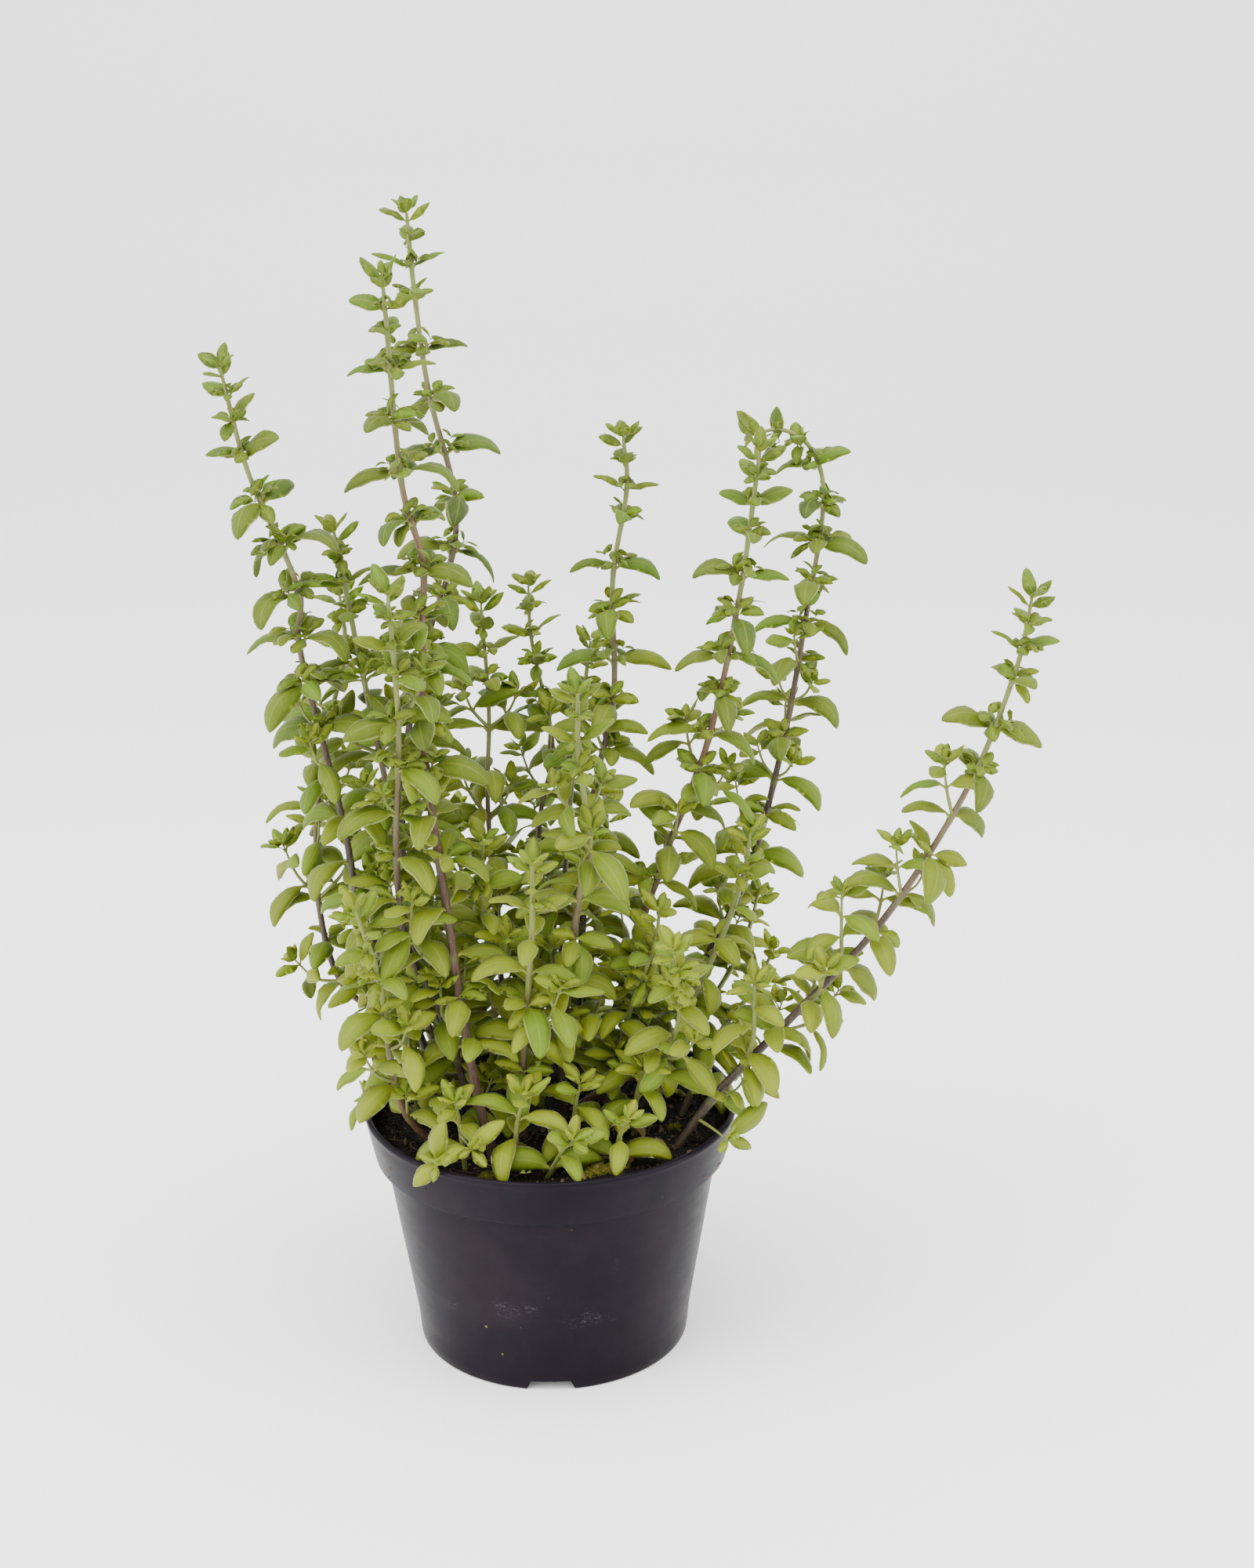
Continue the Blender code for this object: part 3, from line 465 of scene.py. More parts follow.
def leafSolid(leaf, clear=0.0, bladeOnly=False):
    # a few-sided blade that stands for the leaf while room is found for it
    axes = leafFrame(leaf)
    across = axes[2]
    kind = "smallBlade" if leaf["length"] < leafLook["smallLeaf"] else "largeBlade"
    stations = leafLook["budBlade" if leaf["length"] < leafLook["budLeaf"] else kind]
    half = leaf["length"] * leafLook["halfWidth"]
    tip, _ = leafPoint(leaf, axes, 1.0 + clear / leaf["length"])
    foot, _ = leafPoint(leaf, axes, 0.14 if bladeOnly else 0.0)
    vertices = [foot]
    for share, width in stations:
        place, upper = leafPoint(leaf, axes, share)
        reach = half * width + clear
        hang = upper * (leafLook["hang"] * half * width + clear)
        vertices.append(place - across * reach - hang)
        vertices.append(place + across * reach - hang)
        vertices.append(place + upper * (leafLook["ridge"] + clear))
    vertices.append(tip)
    faces = [[0, 1, 2], [0, 2, 3], [0, 3, 1]]
    for i in range(len(stations) - 1):
        a = 1 + 3 * i
        for left, right in ((a + 1, a), (a + 2, a + 1), (a, a + 2)):
            faces.append([left, right, right + 3])
            faces.append([left, right + 3, left + 3])
    a = 1 + 3 * (len(stations) - 1)
    last = len(vertices) - 1
    faces += [[a + 1, a, last], [a + 2, a + 1, last], [a, a + 2, last]]
    return vertices, faces


def leafDistances(length, bare, gap):
    places = list(leafLook["tipDistances"])
    while places[-1] + gap < length:
        places.append(places[-1] + gap)
    return [place for place in places if place < length - bare]


def corePoint(stations, share):
    # the middle of the solid stem at a share of its length
    place = share * (len(stations) - 1)
    i = min(int(place), len(stations) - 2)
    return stations[i][0].lerp(stations[i + 1][0], place - i)


def wantedLeaves(stem, plan, draw, look):
    # the pairs of leaves of one stem, from its tip down
    lengths = plan["lengths"]
    leaves = []
    young = min(look["youngLength"], look["youngShare"] * lengths[-1])
    for pair, distance in enumerate(leafDistances(lengths[-1], stem["bare"], stem["gap"])):
        _, direction = placeOn(plan["route"], lengths, lengths[-1] - distance)
        share = 1.0 - distance / lengths[-1]
        grown = min(1.0, distance / young)
        for side in (0, 180):
            azimuth = stem["turn"] + 90 * pair + side + draw.uniform(-look["turnSpread"], look["turnSpread"])
            size = look["tipLeaf"] + (1.0 - look["tipLeaf"]) * grown
            rise = look["rise"][0] + (look["rise"][1] - look["rise"][0]) * grown
            droop = look["droop"][0] + (look["droop"][1] - look["droop"][0]) * grown
            leaf = {
                "direction": direction, "azimuth": azimuth, "distance": distance, "grown": grown,
                "length": stem["leaf"] * size * draw.uniform(*look["lengthSpread"]),
                "rise": rise + draw.uniform(-look["riseSpread"], look["riseSpread"]),
                "droop": droop + draw.uniform(-look["droopSpread"], look["droopSpread"]),
                "roll": draw.uniform(-look["rollSpread"], look["rollSpread"]),
            }
            sunk = look["rootOffset"] * (stem["girth"][0] + (stem["girth"][1] - stem["girth"][0]) * share)
            leaf["root"] = corePoint(plan["stations"], share) + sideOf(direction, azimuth) * sunk
            leaves.append(leaf)
    return leaves


def boxOf(points):
    return ([min(p[i] for p in points) for i in range(3)],
            [max(p[i] for p in points) for i in range(3)])


def boxesMeet(one, other):
    return all(one[0][i] <= other[1][i] and other[0][i] <= one[1][i] for i in range(3))


def solidTree(solid):
    return BVHTree.FromPolygons(solid[0], solid[1], all_triangles=True)


def hits(solid, things):
    box = boxOf(solid[0])
    tree = None
    for otherBox, otherTree in things:
        if boxesMeet(box, otherBox):
            tree = tree or solidTree(solid)
            if tree.overlap(otherTree):
                return True
    return False


def thing(solid):
    return boxOf(solid[0]), solidTree(solid)


def insidePot(solid):
    # whether a leaf dips into the soil or the pot's wall
    rim = leafLook["rimRadius"]
    soil = stemLook["soilTop"]
    for point in solid[0]:
        radius = math.hypot(point.x, point.y)
        if radius < rim - 4.0 and point.z < soil + 2.2:
            return True
        if rim - 4.0 <= radius < rim + 1.0 and point.z < leafLook["rimHeight"] + 1.0:
            return True
        if radius >= rim + 1.0 and point.z < soil - 14.0:
            return True
    middle = solid[0][0].lerp(solid[0][-1], 0.5)
    return math.hypot(middle.x, middle.y) < rim + 1.0 and middle.z < soil + 1.0


def settleLeaf(leaf, others, own, tries):
    # turn, lift or shorten a leaf until it is clear of everything near it
    for turn, lift, scale in tries:
        tried = dict(leaf, azimuth=leaf["azimuth"] + turn, rise=leaf["rise"] + lift,
                     droop=leaf["droop"] + lift, length=leaf["length"] * scale)
        whole = leafSolid(tried, leafLook["clear"])
        if insidePot(whole) or hits(whole, others):
            continue
        if not hits(leafSolid(tried, 0.1, True), own):
            return tried
    return None


def stemRoute(stem):
    if "start" in stem:
        return smoothRoute([stem["start"], *stem["points"]])
    root = Vector((*stem["root"], stemLook["soilTop"]))
    first = Vector(stem["points"][0])
    foot = root - (first - root) * (stemLook["rootDepth"] / (first.z - root.z))
    return smoothRoute([foot, *stem["points"]])


def planStems():
    plans = []
    for number, (name, stem) in enumerate([*stems.items(), *sideShoots.items()]):
        route = stemRoute(stem)
        lengths = routeLengths(route)
        count = max(2, round(lengths[-1] / stemLook["step"]))
        stations = [placeOn(route, lengths, lengths[-1] * i / count) for i in range(count + 1)]
        plans.append({"name": name, "stem": stem, "route": route, "lengths": lengths,
                      "stations": stations, "tube": tubeSolid(stations, stem["girth"], stem["turn"]),
                      "draw": random.Random(100 + number), "leaves": []})
    for plan in plans:
        plan["things"] = [thing(plan["tube"])]
    for plan in plans:
        others = [item for other in plans if other["name"] != plan["name"] for item in other["things"]]
        own = [item for other in plans if other["name"] == plan["name"]
               for item in other.get("blades", [])]
        plan["blades"] = []
        for leaf in wantedLeaves(plan["stem"], plan, plan["draw"], leafLook):
            settled = settleLeaf(leaf, others, own, leafLook["tries"])
            if settled:
                plan["leaves"].append(settled)
                plan["things"].append(thing(leafSolid(settled)))
                blade = thing(leafSolid(settled, 0.0, True))
                plan["blades"].append(blade)
                own.append(blade)
    return plans


cell = 12.0      # side of the cells in which near things are looked up


def cellsOf(box):
    spans = [range(int(box[0][i] // cell), int(box[1][i] // cell) + 1) for i in range(3)]
    return [(x, y, z) for x in spans[0] for y in spans[1] for z in spans[2]]


def keepNear(near, item):
    for place in cellsOf(item[0]):
        near.setdefault(place, []).append(item)


def pastBox(box):
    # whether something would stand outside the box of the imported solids
    low, high = inPlace(box[0]), inPlace(box[1])
    return any(low[i] < solidBox[0][i] or high[i] > solidBox[1][i] for i in range(3))


def hasRoom(near, solid):
    box = boxOf(solid[0])
    if insidePot(solid) or pastBox(box):
        return False
    close = {id(item): item for place in cellsOf(box) for item in near.get(place, [])}
    return not hits(solid, close.values())


def fileThings(plans):
    near = {}
    for plan in plans:
        # a stem's own tube goes in by the cells along its route
        for place in {tuple(int(p[k] // cell) for k in range(3)) for p in plan["route"]}:
            for step in ((0, 0, 0), (1, 0, 0), (-1, 0, 0), (0, 1, 0), (0, -1, 0)):
                near.setdefault(tuple(a + b for a, b in zip(place, step)), []).append(plan["things"][0])
        for item in plan["things"][1:]:
            keepNear(near, item)
    return near


def growSmall(near, small, tries):
    # a small leaf, turned or shortened until it has room
    for turn, lift, scale in tries:
        tried = dict(small, azimuth=small["azimuth"] + turn, rise=small["rise"] + lift,
                     length=small["length"] * scale)
        whole = leafSolid(tried, 0.1, True)
        if hasRoom(near, whole):
            keepNear(near, thing(whole))
            return [tried]
    return []


smallTries = ((0, 0, 1.0), (20, 10, 0.92), (-20, 14, 0.86), (34, -12, 0.8), (-34, -12, 0.75))


def lowBuds(plan, draw, look):
    # places on the bare foot of a stem from which a twig may grow, with no leaf under it
    stem, lengths = plan["stem"], plan["lengths"]
    if "root" not in stem:
        return []
    buds = []
    for i, height in enumerate(look["lowHeights"]):
        distance = height + stemLook["rootDepth"]
        wish, turn = draw.random(), draw.uniform(0, 360)
        if height > stem["bare"] or lengths[-1] - distance < look["from"] or wish > look["lowChance"]:
            continue
        place, direction = placeOn(plan["route"], lengths, distance)
        out = sideOf(direction, turn)
        buds.append({"root": place + out * stem["girth"][0] * 0.4, "direction": direction, "azimuth": turn,
                     "distance": lengths[-1] - distance, "low": True})
    return buds


def rimBuds(plan, look):
    # the same for the twigs that hang over the rim
    buds = []
    for stemName, height, turn, length in look["rim"]:
        if stemName == plan["name"] and "root" in plan["stem"]:
            place, direction = placeOn(plan["route"], plan["lengths"], height + stemLook["rootDepth"])
            buds.append({"root": place + sideOf(direction, turn) * 0.4, "direction": direction, "azimuth": turn,
                         "distance": look["from"], "reach": length})
    return buds


def addTwigs(plans, near, look):
    # short side branches with a few pairs of leaves of their own
    draw = random.Random(look["seed"])
    grown = []
    for plan in plans:
        for leaf in [*rimBuds(plan, look), *plan["leaves"], *lowBuds(plan, draw, look)]:
            height = leaf["root"].z
            share = min(1.0, max(0.0, (height - 130.0) / (look["below"] - 130.0)))
            chance = look["chance"][0] + (look["chance"][1] - look["chance"][0]) * share
            length = draw.uniform(*look["lowLength" if "low" in leaf else "length"]) * (1.0 - 0.4 * share)
            wish, turn, lean = draw.random(), draw.uniform(-25, 25), draw.uniform(0.55, 1.0)
            full = draw.uniform(*look["leaf"])
            climb = 0.9
            if "reach" in leaf:
                length, turn, lean, climb, wish = leaf["reach"], 0.0, 2.4, -0.1, 0.0
            if leaf["distance"] < look["from"] or height > look["below"] or wish > chance:
                continue
            out = sideOf(leaf["direction"], leaf["azimuth"] + turn)
            start = leaf["root"] + leaf["direction"] * 1.6
            first = (leaf["direction"] * 0.8 + out * lean).normalized()
            bend = (first + Vector((0, 0, climb))).normalized()
            route = smoothRoute([start, start + first * length * 0.5, start + (first + bend) * length * 0.5], 5)
            lengths = routeLengths(route)
            stations = [placeOn(route, lengths, lengths[-1] * i / 3) for i in range(4)]
            tube = tubeSolid([placeOn(route, lengths, lengths[-1] * (0.3 + 0.7 * i / 3)) for i in range(4)],
                             look["girth"], 0)
            if not hasRoom(near, tube):
                continue
            keepNear(near, thing(tube))
            twig = {"name": plan["name"], "route": route, "lengths": lengths, "stations": stations,
                    "stem": {"girth": look["girth"], "turn": draw.uniform(0, 90), "leaf": full, "brown": 260.0},
                    "leaves": [], "tufts": []}
            pairs = look["rimPairs"] if "reach" in leaf else look["pairs"]
            for pair, distance in enumerate(d for d in pairs if d < length - 4.0):
                place, direction = placeOn(route, lengths, lengths[-1] - distance)
                age = 0.8 if "reach" in leaf else min(1.0, 0.2 + distance / 13.0)
                for side in (0, 180):
                    small = {"direction": direction, "distance": distance, "grown": 0.6 * age,
                             "azimuth": twig["stem"]["turn"] + 90 * pair + side + draw.uniform(-18, 18),
                             "length": full * (0.42 + 0.58 * age) * draw.uniform(0.88, 1.06),
                             "rise": 62 - 18 * age + draw.uniform(-9, 9),
                             "droop": 14 - 78 * age + draw.uniform(-18, 18),
                             "roll": draw.uniform(-24, 24),
                             "root": place + sideOf(direction, twig["stem"]["turn"] + 90 * pair + side) * 0.2}
                    twig["leaves"] += growSmall(near, small, smallTries)
            leaf["hasTwig"] = True
            grown.append(twig)
    plans += grown


def addTufts(plans, near, look):
    # two crossed pairs of small leaves above each large leaf, where there is room
    draw = random.Random(look["seed"])
    for plan in plans:
        plan.setdefault("tufts", [])
        if "draw" not in plan or plan["lengths"][-1] < look["shortest"]:
            continue
        for leaf in plan["leaves"]:
            out = sideOf(leaf["direction"], leaf["azimuth"])
            axis = (leaf["direction"] + out * look["lean"]).normalized()
            low = leaf["root"].z < look["lowBelow"]
            size = draw.uniform(*(look["lowSize"] if low else look["size"]))
            size *= 0.45 + 0.55 * min(1.0, leaf["distance"] / 45.0)
            turn = draw.uniform(-20, 20)
            if leaf["distance"] < look["from"] or "hasTwig" in leaf or low and draw.random() > look["lowChance"]:
                continue
            root = leaf["root"] + out * plan["stem"]["girth"][0] * 0.5 + leaf["direction"] * 0.8
            kinds = [(90, 1.0, 0.8), (270, 1.0, 0.8), (0, 0.75, 2.2), (180, 0.6, 2.2)]
            if size > 10.5 and not low:
                kinds += [(45, 0.55, 4.6), (225, 0.55, 4.6)]
            for side, share, along in kinds:
                small = {"direction": axis, "azimuth": turn + side + draw.uniform(-16, 16),
                         "distance": leaf["distance"], "grown": 0.35 * share,
                         "length": size * share * draw.uniform(0.85, 1.1),
                         "rise": 54 + 20 * (1 - share) + draw.uniform(-10, 10),
                         "droop": 2 - 46 * share + draw.uniform(-18, 18), "roll": draw.uniform(-25, 25),
                         "root": root + axis * along}
                plan["tufts"] += growSmall(near, small, smallTries)


def addTipLeaves(plans):
    # the folded youngest leaves at each tip
    draw = random.Random(31)
    for plan in plans:
        tip, direction = plan["stations"][-1]
        size = plan["stem"]["leaf"] * (0.44 if "draw" in plan else 0.4)
        for k, (share, along) in enumerate(((1.0, 0.2), (1.0, 0.2), (0.72, 1.3), (0.72, 1.3))):
            turn = plan["stem"]["turn"] + 90 + 90 * (k // 2) + 180 * (k % 2)
            leaf = {
                "direction": direction, "azimuth": turn + draw.uniform(-12, 12), "distance": 0.0,
                "grown": 0.1, "length": size * share * draw.uniform(0.9, 1.15),
                "rise": 66 + draw.uniform(-8, 6), "droop": 24 + draw.uniform(-30, 18),
                "roll": draw.uniform(-18, 18), "root": tip + direction * (along - 1.0)}
            if direction.z > 0.3 and tip.z < 360 and pastBox(boxOf(leafSolid(leaf)[0])):
                leaf["length"] *= 0.6
            plan["tufts"].append(leaf)


plans = planStems()
nearThings = fileThings(plans)
print("large leaves planned:", sum(len(plan["leaves"]) for plan in plans))
addTwigs(plans, nearThings, twigLook)
addTufts(plans, nearThings, tuftLook)
addTipLeaves(plans)
print("side twigs:", len(plans) - len(stems) - len(sideShoots), "all leaves:",
      sum(len(plan["leaves"]) + len(plan["tufts"]) for plan in plans))


# Blades: one blank for large leaves and one for small ones, which the tree bends into each leaf.
# A blank holds its place along the leaf, across it, and on its upper or lower side.
def bladeBlank(name, along, columns):
    vertices = []
    for share in along:
        for i in range(columns + 1):
            vertices.append((share, -1 + 2 * i / columns, 1.0))
        for i in range(columns - 1, 0, -1):
            vertices.append((share, -1 + 2 * i / columns, -1.0))
    ring = 2 * columns
    faces = [list(range(ring))[::-1]]
    for row in range(len(along) - 1):
        for i in range(ring):
            j = (i + 1) % ring
            a = row * ring
            faces.append([a + i, a + j, a + ring + j, a + ring + i])
    last = (len(along) - 1) * ring
    vertices.append((1.0, 0.0, 0.0))
    for i in range(ring):
        faces.append([last + i, last + (i + 1) % ring, len(vertices) - 1])
    vertices = [(u, v, 0.0 if abs(v) == 1 else s) for u, v, s in vertices]
    mesh = meshFrom(name, vertices, faces)
    addAttribute(mesh, "bladePlace", "FLOAT_VECTOR", vertices)
    return addPiece(name, mesh)


bladeLook = {
    "outline": ((0.0, 0.0), (0.06, 0.03), (0.12, 0.3), (0.21, 0.64), (0.34, 0.91), (0.48, 1.0),
                (0.62, 0.95), (0.76, 0.79), (0.89, 0.53), (1.0, 0.1)),
    "petiole": 0.026,              # half width of the leaf stalk over the leaf's length
    "thickness": 0.0075,           # half thickness of the blade over its length
    "stalkThickness": 0.02,
    "groove": 0.009,               # how deep the midrib lies, and stands out below
    "wave": 0.1,
    "along": (0.0, 0.06, 0.11, 0.18, 0.28, 0.4, 0.53, 0.66, 0.78, 0.88, 0.96),
    "smallAlong": (0.0, 0.09, 0.2, 0.38, 0.57, 0.76, 0.91),
    "smallBelow": 12.0,            # leaves shorter than this are grown from the small blank
}

hairLook = {"density": 0.4e6, "length": 0.7 * mm, "thickness": 0.045 * mm, "seed": 4}


def leafyStemTree(blade, hair):
    # a route becomes a ridged square stem with hairs on it, and each loose point becomes a leaf
    tree, given = newTree("leafyStem", {
        "Large blade": "Object", "Small blade": "Object", "Half width": "Float", "Leaf stalk": "Float",
        "Blade thickness": "Float", "Stalk thickness": "Float", "Midrib groove": "Float",
        "Margin wave": "Float", "Hair density": "Float", "Hair length": "Float",
        "Hair thickness": "Float", "Leaf surface": "Material", "Stem surface": "Material",
        "Hair surface": "Material"})
    named, maths = "GeometryNodeInputNamedAttribute", "ShaderNodeMath"
    isLeaf = addNode(tree, named, {"Name": "isLeaf"}, data_type="BOOLEAN")
    parted = addNode(tree, "GeometryNodeSeparateGeometry", [given["Geometry"], isLeaf], domain="POINT")
    points, route = parted.outputs

    # blanks on their points
    isSmall = addNode(tree, named, {"Name": "isSmall"}, data_type="BOOLEAN")
    isLarge = addNode(tree, "FunctionNodeBooleanMath", [isSmall], operation="NOT")
    placed = addNode(tree, "GeometryNodeJoinGeometry")
    for label, chosen in (("Large blade", isLarge), ("Small blade", isSmall)):
        blank = addNode(tree, "GeometryNodeObjectInfo", [given[label]])
        leaves = addNode(tree, "GeometryNodeInstanceOnPoints",
                         {"Points": points, "Selection": chosen, "Instance": blank.outputs["Geometry"]})
        tree.links.new(leaves.outputs[0], placed.inputs[0])
    leaves = addNode(tree, "GeometryNodeRealizeInstances", [placed])

    # each leaf's midrib is an arc that starts at its rise and turns through its bend
    bladePlace = addNode(tree, named, {"Name": "bladePlace"}, data_type="FLOAT_VECTOR")
    along, sideways, face = addNode(tree, "ShaderNodeSeparateXYZ", [bladePlace]).outputs
    length = addNode(tree, named, {"Name": "leafLength"}, data_type="FLOAT")
    rise = addNode(tree, named, {"Name": "leafRise"}, data_type="FLOAT")
    bend = addNode(tree, named, {"Name": "leafBend"}, data_type="FLOAT")
    angle = addNode(tree, maths, [along, bend, rise], operation="MULTIPLY_ADD")
    sine = addNode(tree, maths, [angle], operation="SINE")
    cosine = addNode(tree, maths, [angle], operation="COSINE")
    arcRadius = addNode(tree, maths, [length, bend], operation="DIVIDE")
    firstSine = addNode(tree, maths, [rise], operation="SINE")
    firstCosine = addNode(tree, maths, [rise], operation="COSINE")
    sineRun = addNode(tree, maths, [sine, firstSine], operation="SUBTRACT")
    cosineRun = addNode(tree, maths, [firstCosine, cosine], operation="SUBTRACT")
    run = addNode(tree, maths, [sineRun, arcRadius], operation="MULTIPLY")
    climb = addNode(tree, maths, [cosineRun, arcRadius], operation="MULTIPLY")

    # its outline widens from a narrow stalk
    outline = addNode(tree, "ShaderNodeFloatCurve", {"Value": along})
    curve = outline.mapping.curves[0]
    while len(curve.points) < len(blade["outline"]):
        curve.points.new(0.5, 0.5)
    for point, spot in zip(curve.points, blade["outline"]):
        point.location = spot
    outline.mapping.update()
    broad = addNode(tree, named, {"Name": "leafBroad"}, data_type="FLOAT")
    plainHalf = addNode(tree, maths, [length, given["Half width"]], operation="MULTIPLY")
    fullHalf = addNode(tree, maths, [plainHalf, broad], operation="MULTIPLY")
    bladeHalf = addNode(tree, maths, [outline, fullHalf], operation="MULTIPLY")
    stalkHalf = addNode(tree, maths, [length, given["Leaf stalk"]], operation="MULTIPLY")
    half = addNode(tree, maths, [bladeHalf, stalkHalf], operation="MAXIMUM")
    sideReach = addNode(tree, maths, [sideways, half], operation="MULTIPLY")

    # thickness, the sunken midrib, and margins that curl and wave
    flat = addNode(tree, "ShaderNodeMapRange", {"Value": along, "From Min": 0.05, "From Max": 0.2},
                   interpolation_type="SMOOTHSTEP")
    thick = addNode(tree, "ShaderNodeMix", {0: flat, 2: given["Stalk thickness"], 3: given["Blade thickness"]},
                    data_type="FLOAT")
    halfThick = addNode(tree, maths, [thick, length], operation="MULTIPLY")
    lens = addNode(tree, maths, [face, halfThick], operation="MULTIPLY")
    spread = addNode(tree, maths, [sideways], operation="ABSOLUTE")
    inward = addNode(tree, maths, [1.0, spread], operation="SUBTRACT")
    middle = addNode(tree, maths, [inward, 3.0], operation="POWER")
    grooveShape = addNode(tree, maths, [middle, flat], operation="MULTIPLY")
    grooveDepth = addNode(tree, maths, [length, given["Midrib groove"]], operation="MULTIPLY")
    groove = addNode(tree, maths, [grooveShape, grooveDepth], operation="MULTIPLY")
    phase = addNode(tree, named, {"Name": "leafPhase"}, data_type="FLOAT")
    turns = addNode(tree, maths, [along, 11.0, phase], operation="MULTIPLY_ADD")
    ripple = addNode(tree, maths, [turns], operation="SINE")
    sideRipple = addNode(tree, maths, [ripple, sideways], operation="MULTIPLY")
    leafFold = addNode(tree, named, {"Name": "leafFold"}, data_type="FLOAT")
    fold = addNode(tree, maths, [sideRipple, given["Margin wave"], leafFold], operation="MULTIPLY_ADD")
    curl = addNode(tree, maths, [spread, 1.2], operation="POWER")
    curlHalf = addNode(tree, maths, [curl, half], operation="MULTIPLY")
    curlFlat = addNode(tree, maths, [curlHalf, flat], operation="MULTIPLY")
    edge = addNode(tree, maths, [curlFlat, fold], operation="MULTIPLY")
    raised = addNode(tree, maths, [edge, lens], operation="ADD")
    lift = addNode(tree, maths, [raised, groove], operation="SUBTRACT")

    # the blade turns about its midrib by the leaf's twist
    leafTwist = addNode(tree, named, {"Name": "leafTwist"}, data_type="FLOAT")
    twist = addNode(tree, maths, [leafTwist, flat], operation="MULTIPLY")
    twistSine = addNode(tree, maths, [twist], operation="SINE")
    twistCosine = addNode(tree, maths, [twist], operation="COSINE")
    sideKept = addNode(tree, maths, [sideReach, twistCosine], operation="MULTIPLY")
    sideLost = addNode(tree, maths, [sideReach, twistSine], operation="MULTIPLY")
    sideTurned = addNode(tree, maths, [lift, twistSine, sideKept], operation="MULTIPLY_ADD")
    liftKept = addNode(tree, maths, [lift, twistCosine], operation="MULTIPLY")
    liftTurned = addNode(tree, maths, [liftKept, sideLost], operation="SUBTRACT")

    # place = root + out * outward + up * upward + across * side reach
    leanOut = addNode(tree, maths, [sine, liftTurned], operation="MULTIPLY")
    outward = addNode(tree, maths, [run, leanOut], operation="SUBTRACT")
    upward = addNode(tree, maths, [cosine, liftTurned, climb], operation="MULTIPLY_ADD")
    spot = addNode(tree, named, {"Name": "leafRoot"}, data_type="FLOAT_VECTOR")
    for label, amount in (("leafOut", outward), ("leafUp", upward), ("leafAcross", sideTurned)):
        axis = addNode(tree, named, {"Name": label}, data_type="FLOAT_VECTOR")
        spot = addNode(tree, "ShaderNodeVectorMath", [axis, amount, spot], operation="MULTIPLY_ADD")
    leaves = addNode(tree, "GeometryNodeSetPosition", {"Geometry": leaves, "Position": spot})
    leaves = addNode(tree, "GeometryNodeSetMaterial", {"Geometry": leaves, "Material": given["Leaf surface"]})

    # the stem: a square with softly ridged corners drawn along the route
    line = addNode(tree, "GeometryNodeMeshToCurve", [route])
    section = addNode(tree, "GeometryNodeCurveStar",
                      {"Points": 4, "Inner Radius": 0.84, "Outer Radius": 1.0, "Twist": 0.0})
    girth = addNode(tree, named, {"Name": "stemRadius"}, data_type="FLOAT")
    stem = addNode(tree, "GeometryNodeCurveToMesh", {"Curve": line, "Profile Curve": section.outputs[0],
                                                     "Scale": girth, "Fill Caps": True})
    stem = addNode(tree, "GeometryNodeSetMaterial", {"Geometry": stem, "Material": given["Stem surface"]})

    # hairs: slim three-sided spikes, drawn a little coarser than real ones so that they show
    spots = addNode(tree, "GeometryNodeDistributePointsOnFaces",
                    {"Mesh": stem, "Density": given["Hair density"], "Seed": hair["seed"]})
    spike = addNode(tree, "GeometryNodeMeshCone", {"Vertices": 3, "Radius Top": 0.1, "Radius Bottom": 1.0,
                                                   "Depth": 1.0})
    lean = addNode(tree, "FunctionNodeRandomValue", {0: (-0.6, -0.6, 0.0), 1: (0.6, 0.6, 6.3), 8: 7},
                   data_type="FLOAT_VECTOR")
    leanTurn = addNode(tree, "FunctionNodeEulerToRotation", [lean])
    turned = addNode(tree, "FunctionNodeRotateRotation", [spots.outputs["Rotation"], leanTurn],
                     rotation_space="LOCAL")
    tall = addNode(tree, "FunctionNodeRandomValue", {2: 0.55, 3: 1.15, 8: 5}, data_type="FLOAT")
    hairTall = addNode(tree, maths, [given["Hair length"], tall.outputs[1]], operation="MULTIPLY")
    size = addNode(tree, "ShaderNodeCombineXYZ", [given["Hair thickness"], given["Hair thickness"], hairTall])
    hairs = addNode(tree, "GeometryNodeInstanceOnPoints",
                    {"Points": spots, "Instance": spike, "Rotation": turned, "Scale": size})
    hairs = addNode(tree, "GeometryNodeRealizeInstances", [hairs])
    hairs = addNode(tree, "GeometryNodeSetMaterial", {"Geometry": hairs, "Material": given["Hair surface"]})

    joined = addNode(tree, "GeometryNodeJoinGeometry")
    for part in (leaves, stem, hairs):
        tree.links.new(part.outputs[0], joined.inputs[0])
    smooth = addNode(tree, "GeometryNodeSetShadeSmooth", [joined], domain="FACE")
    addNode(tree, "NodeGroupOutput", [smooth])
    return tree


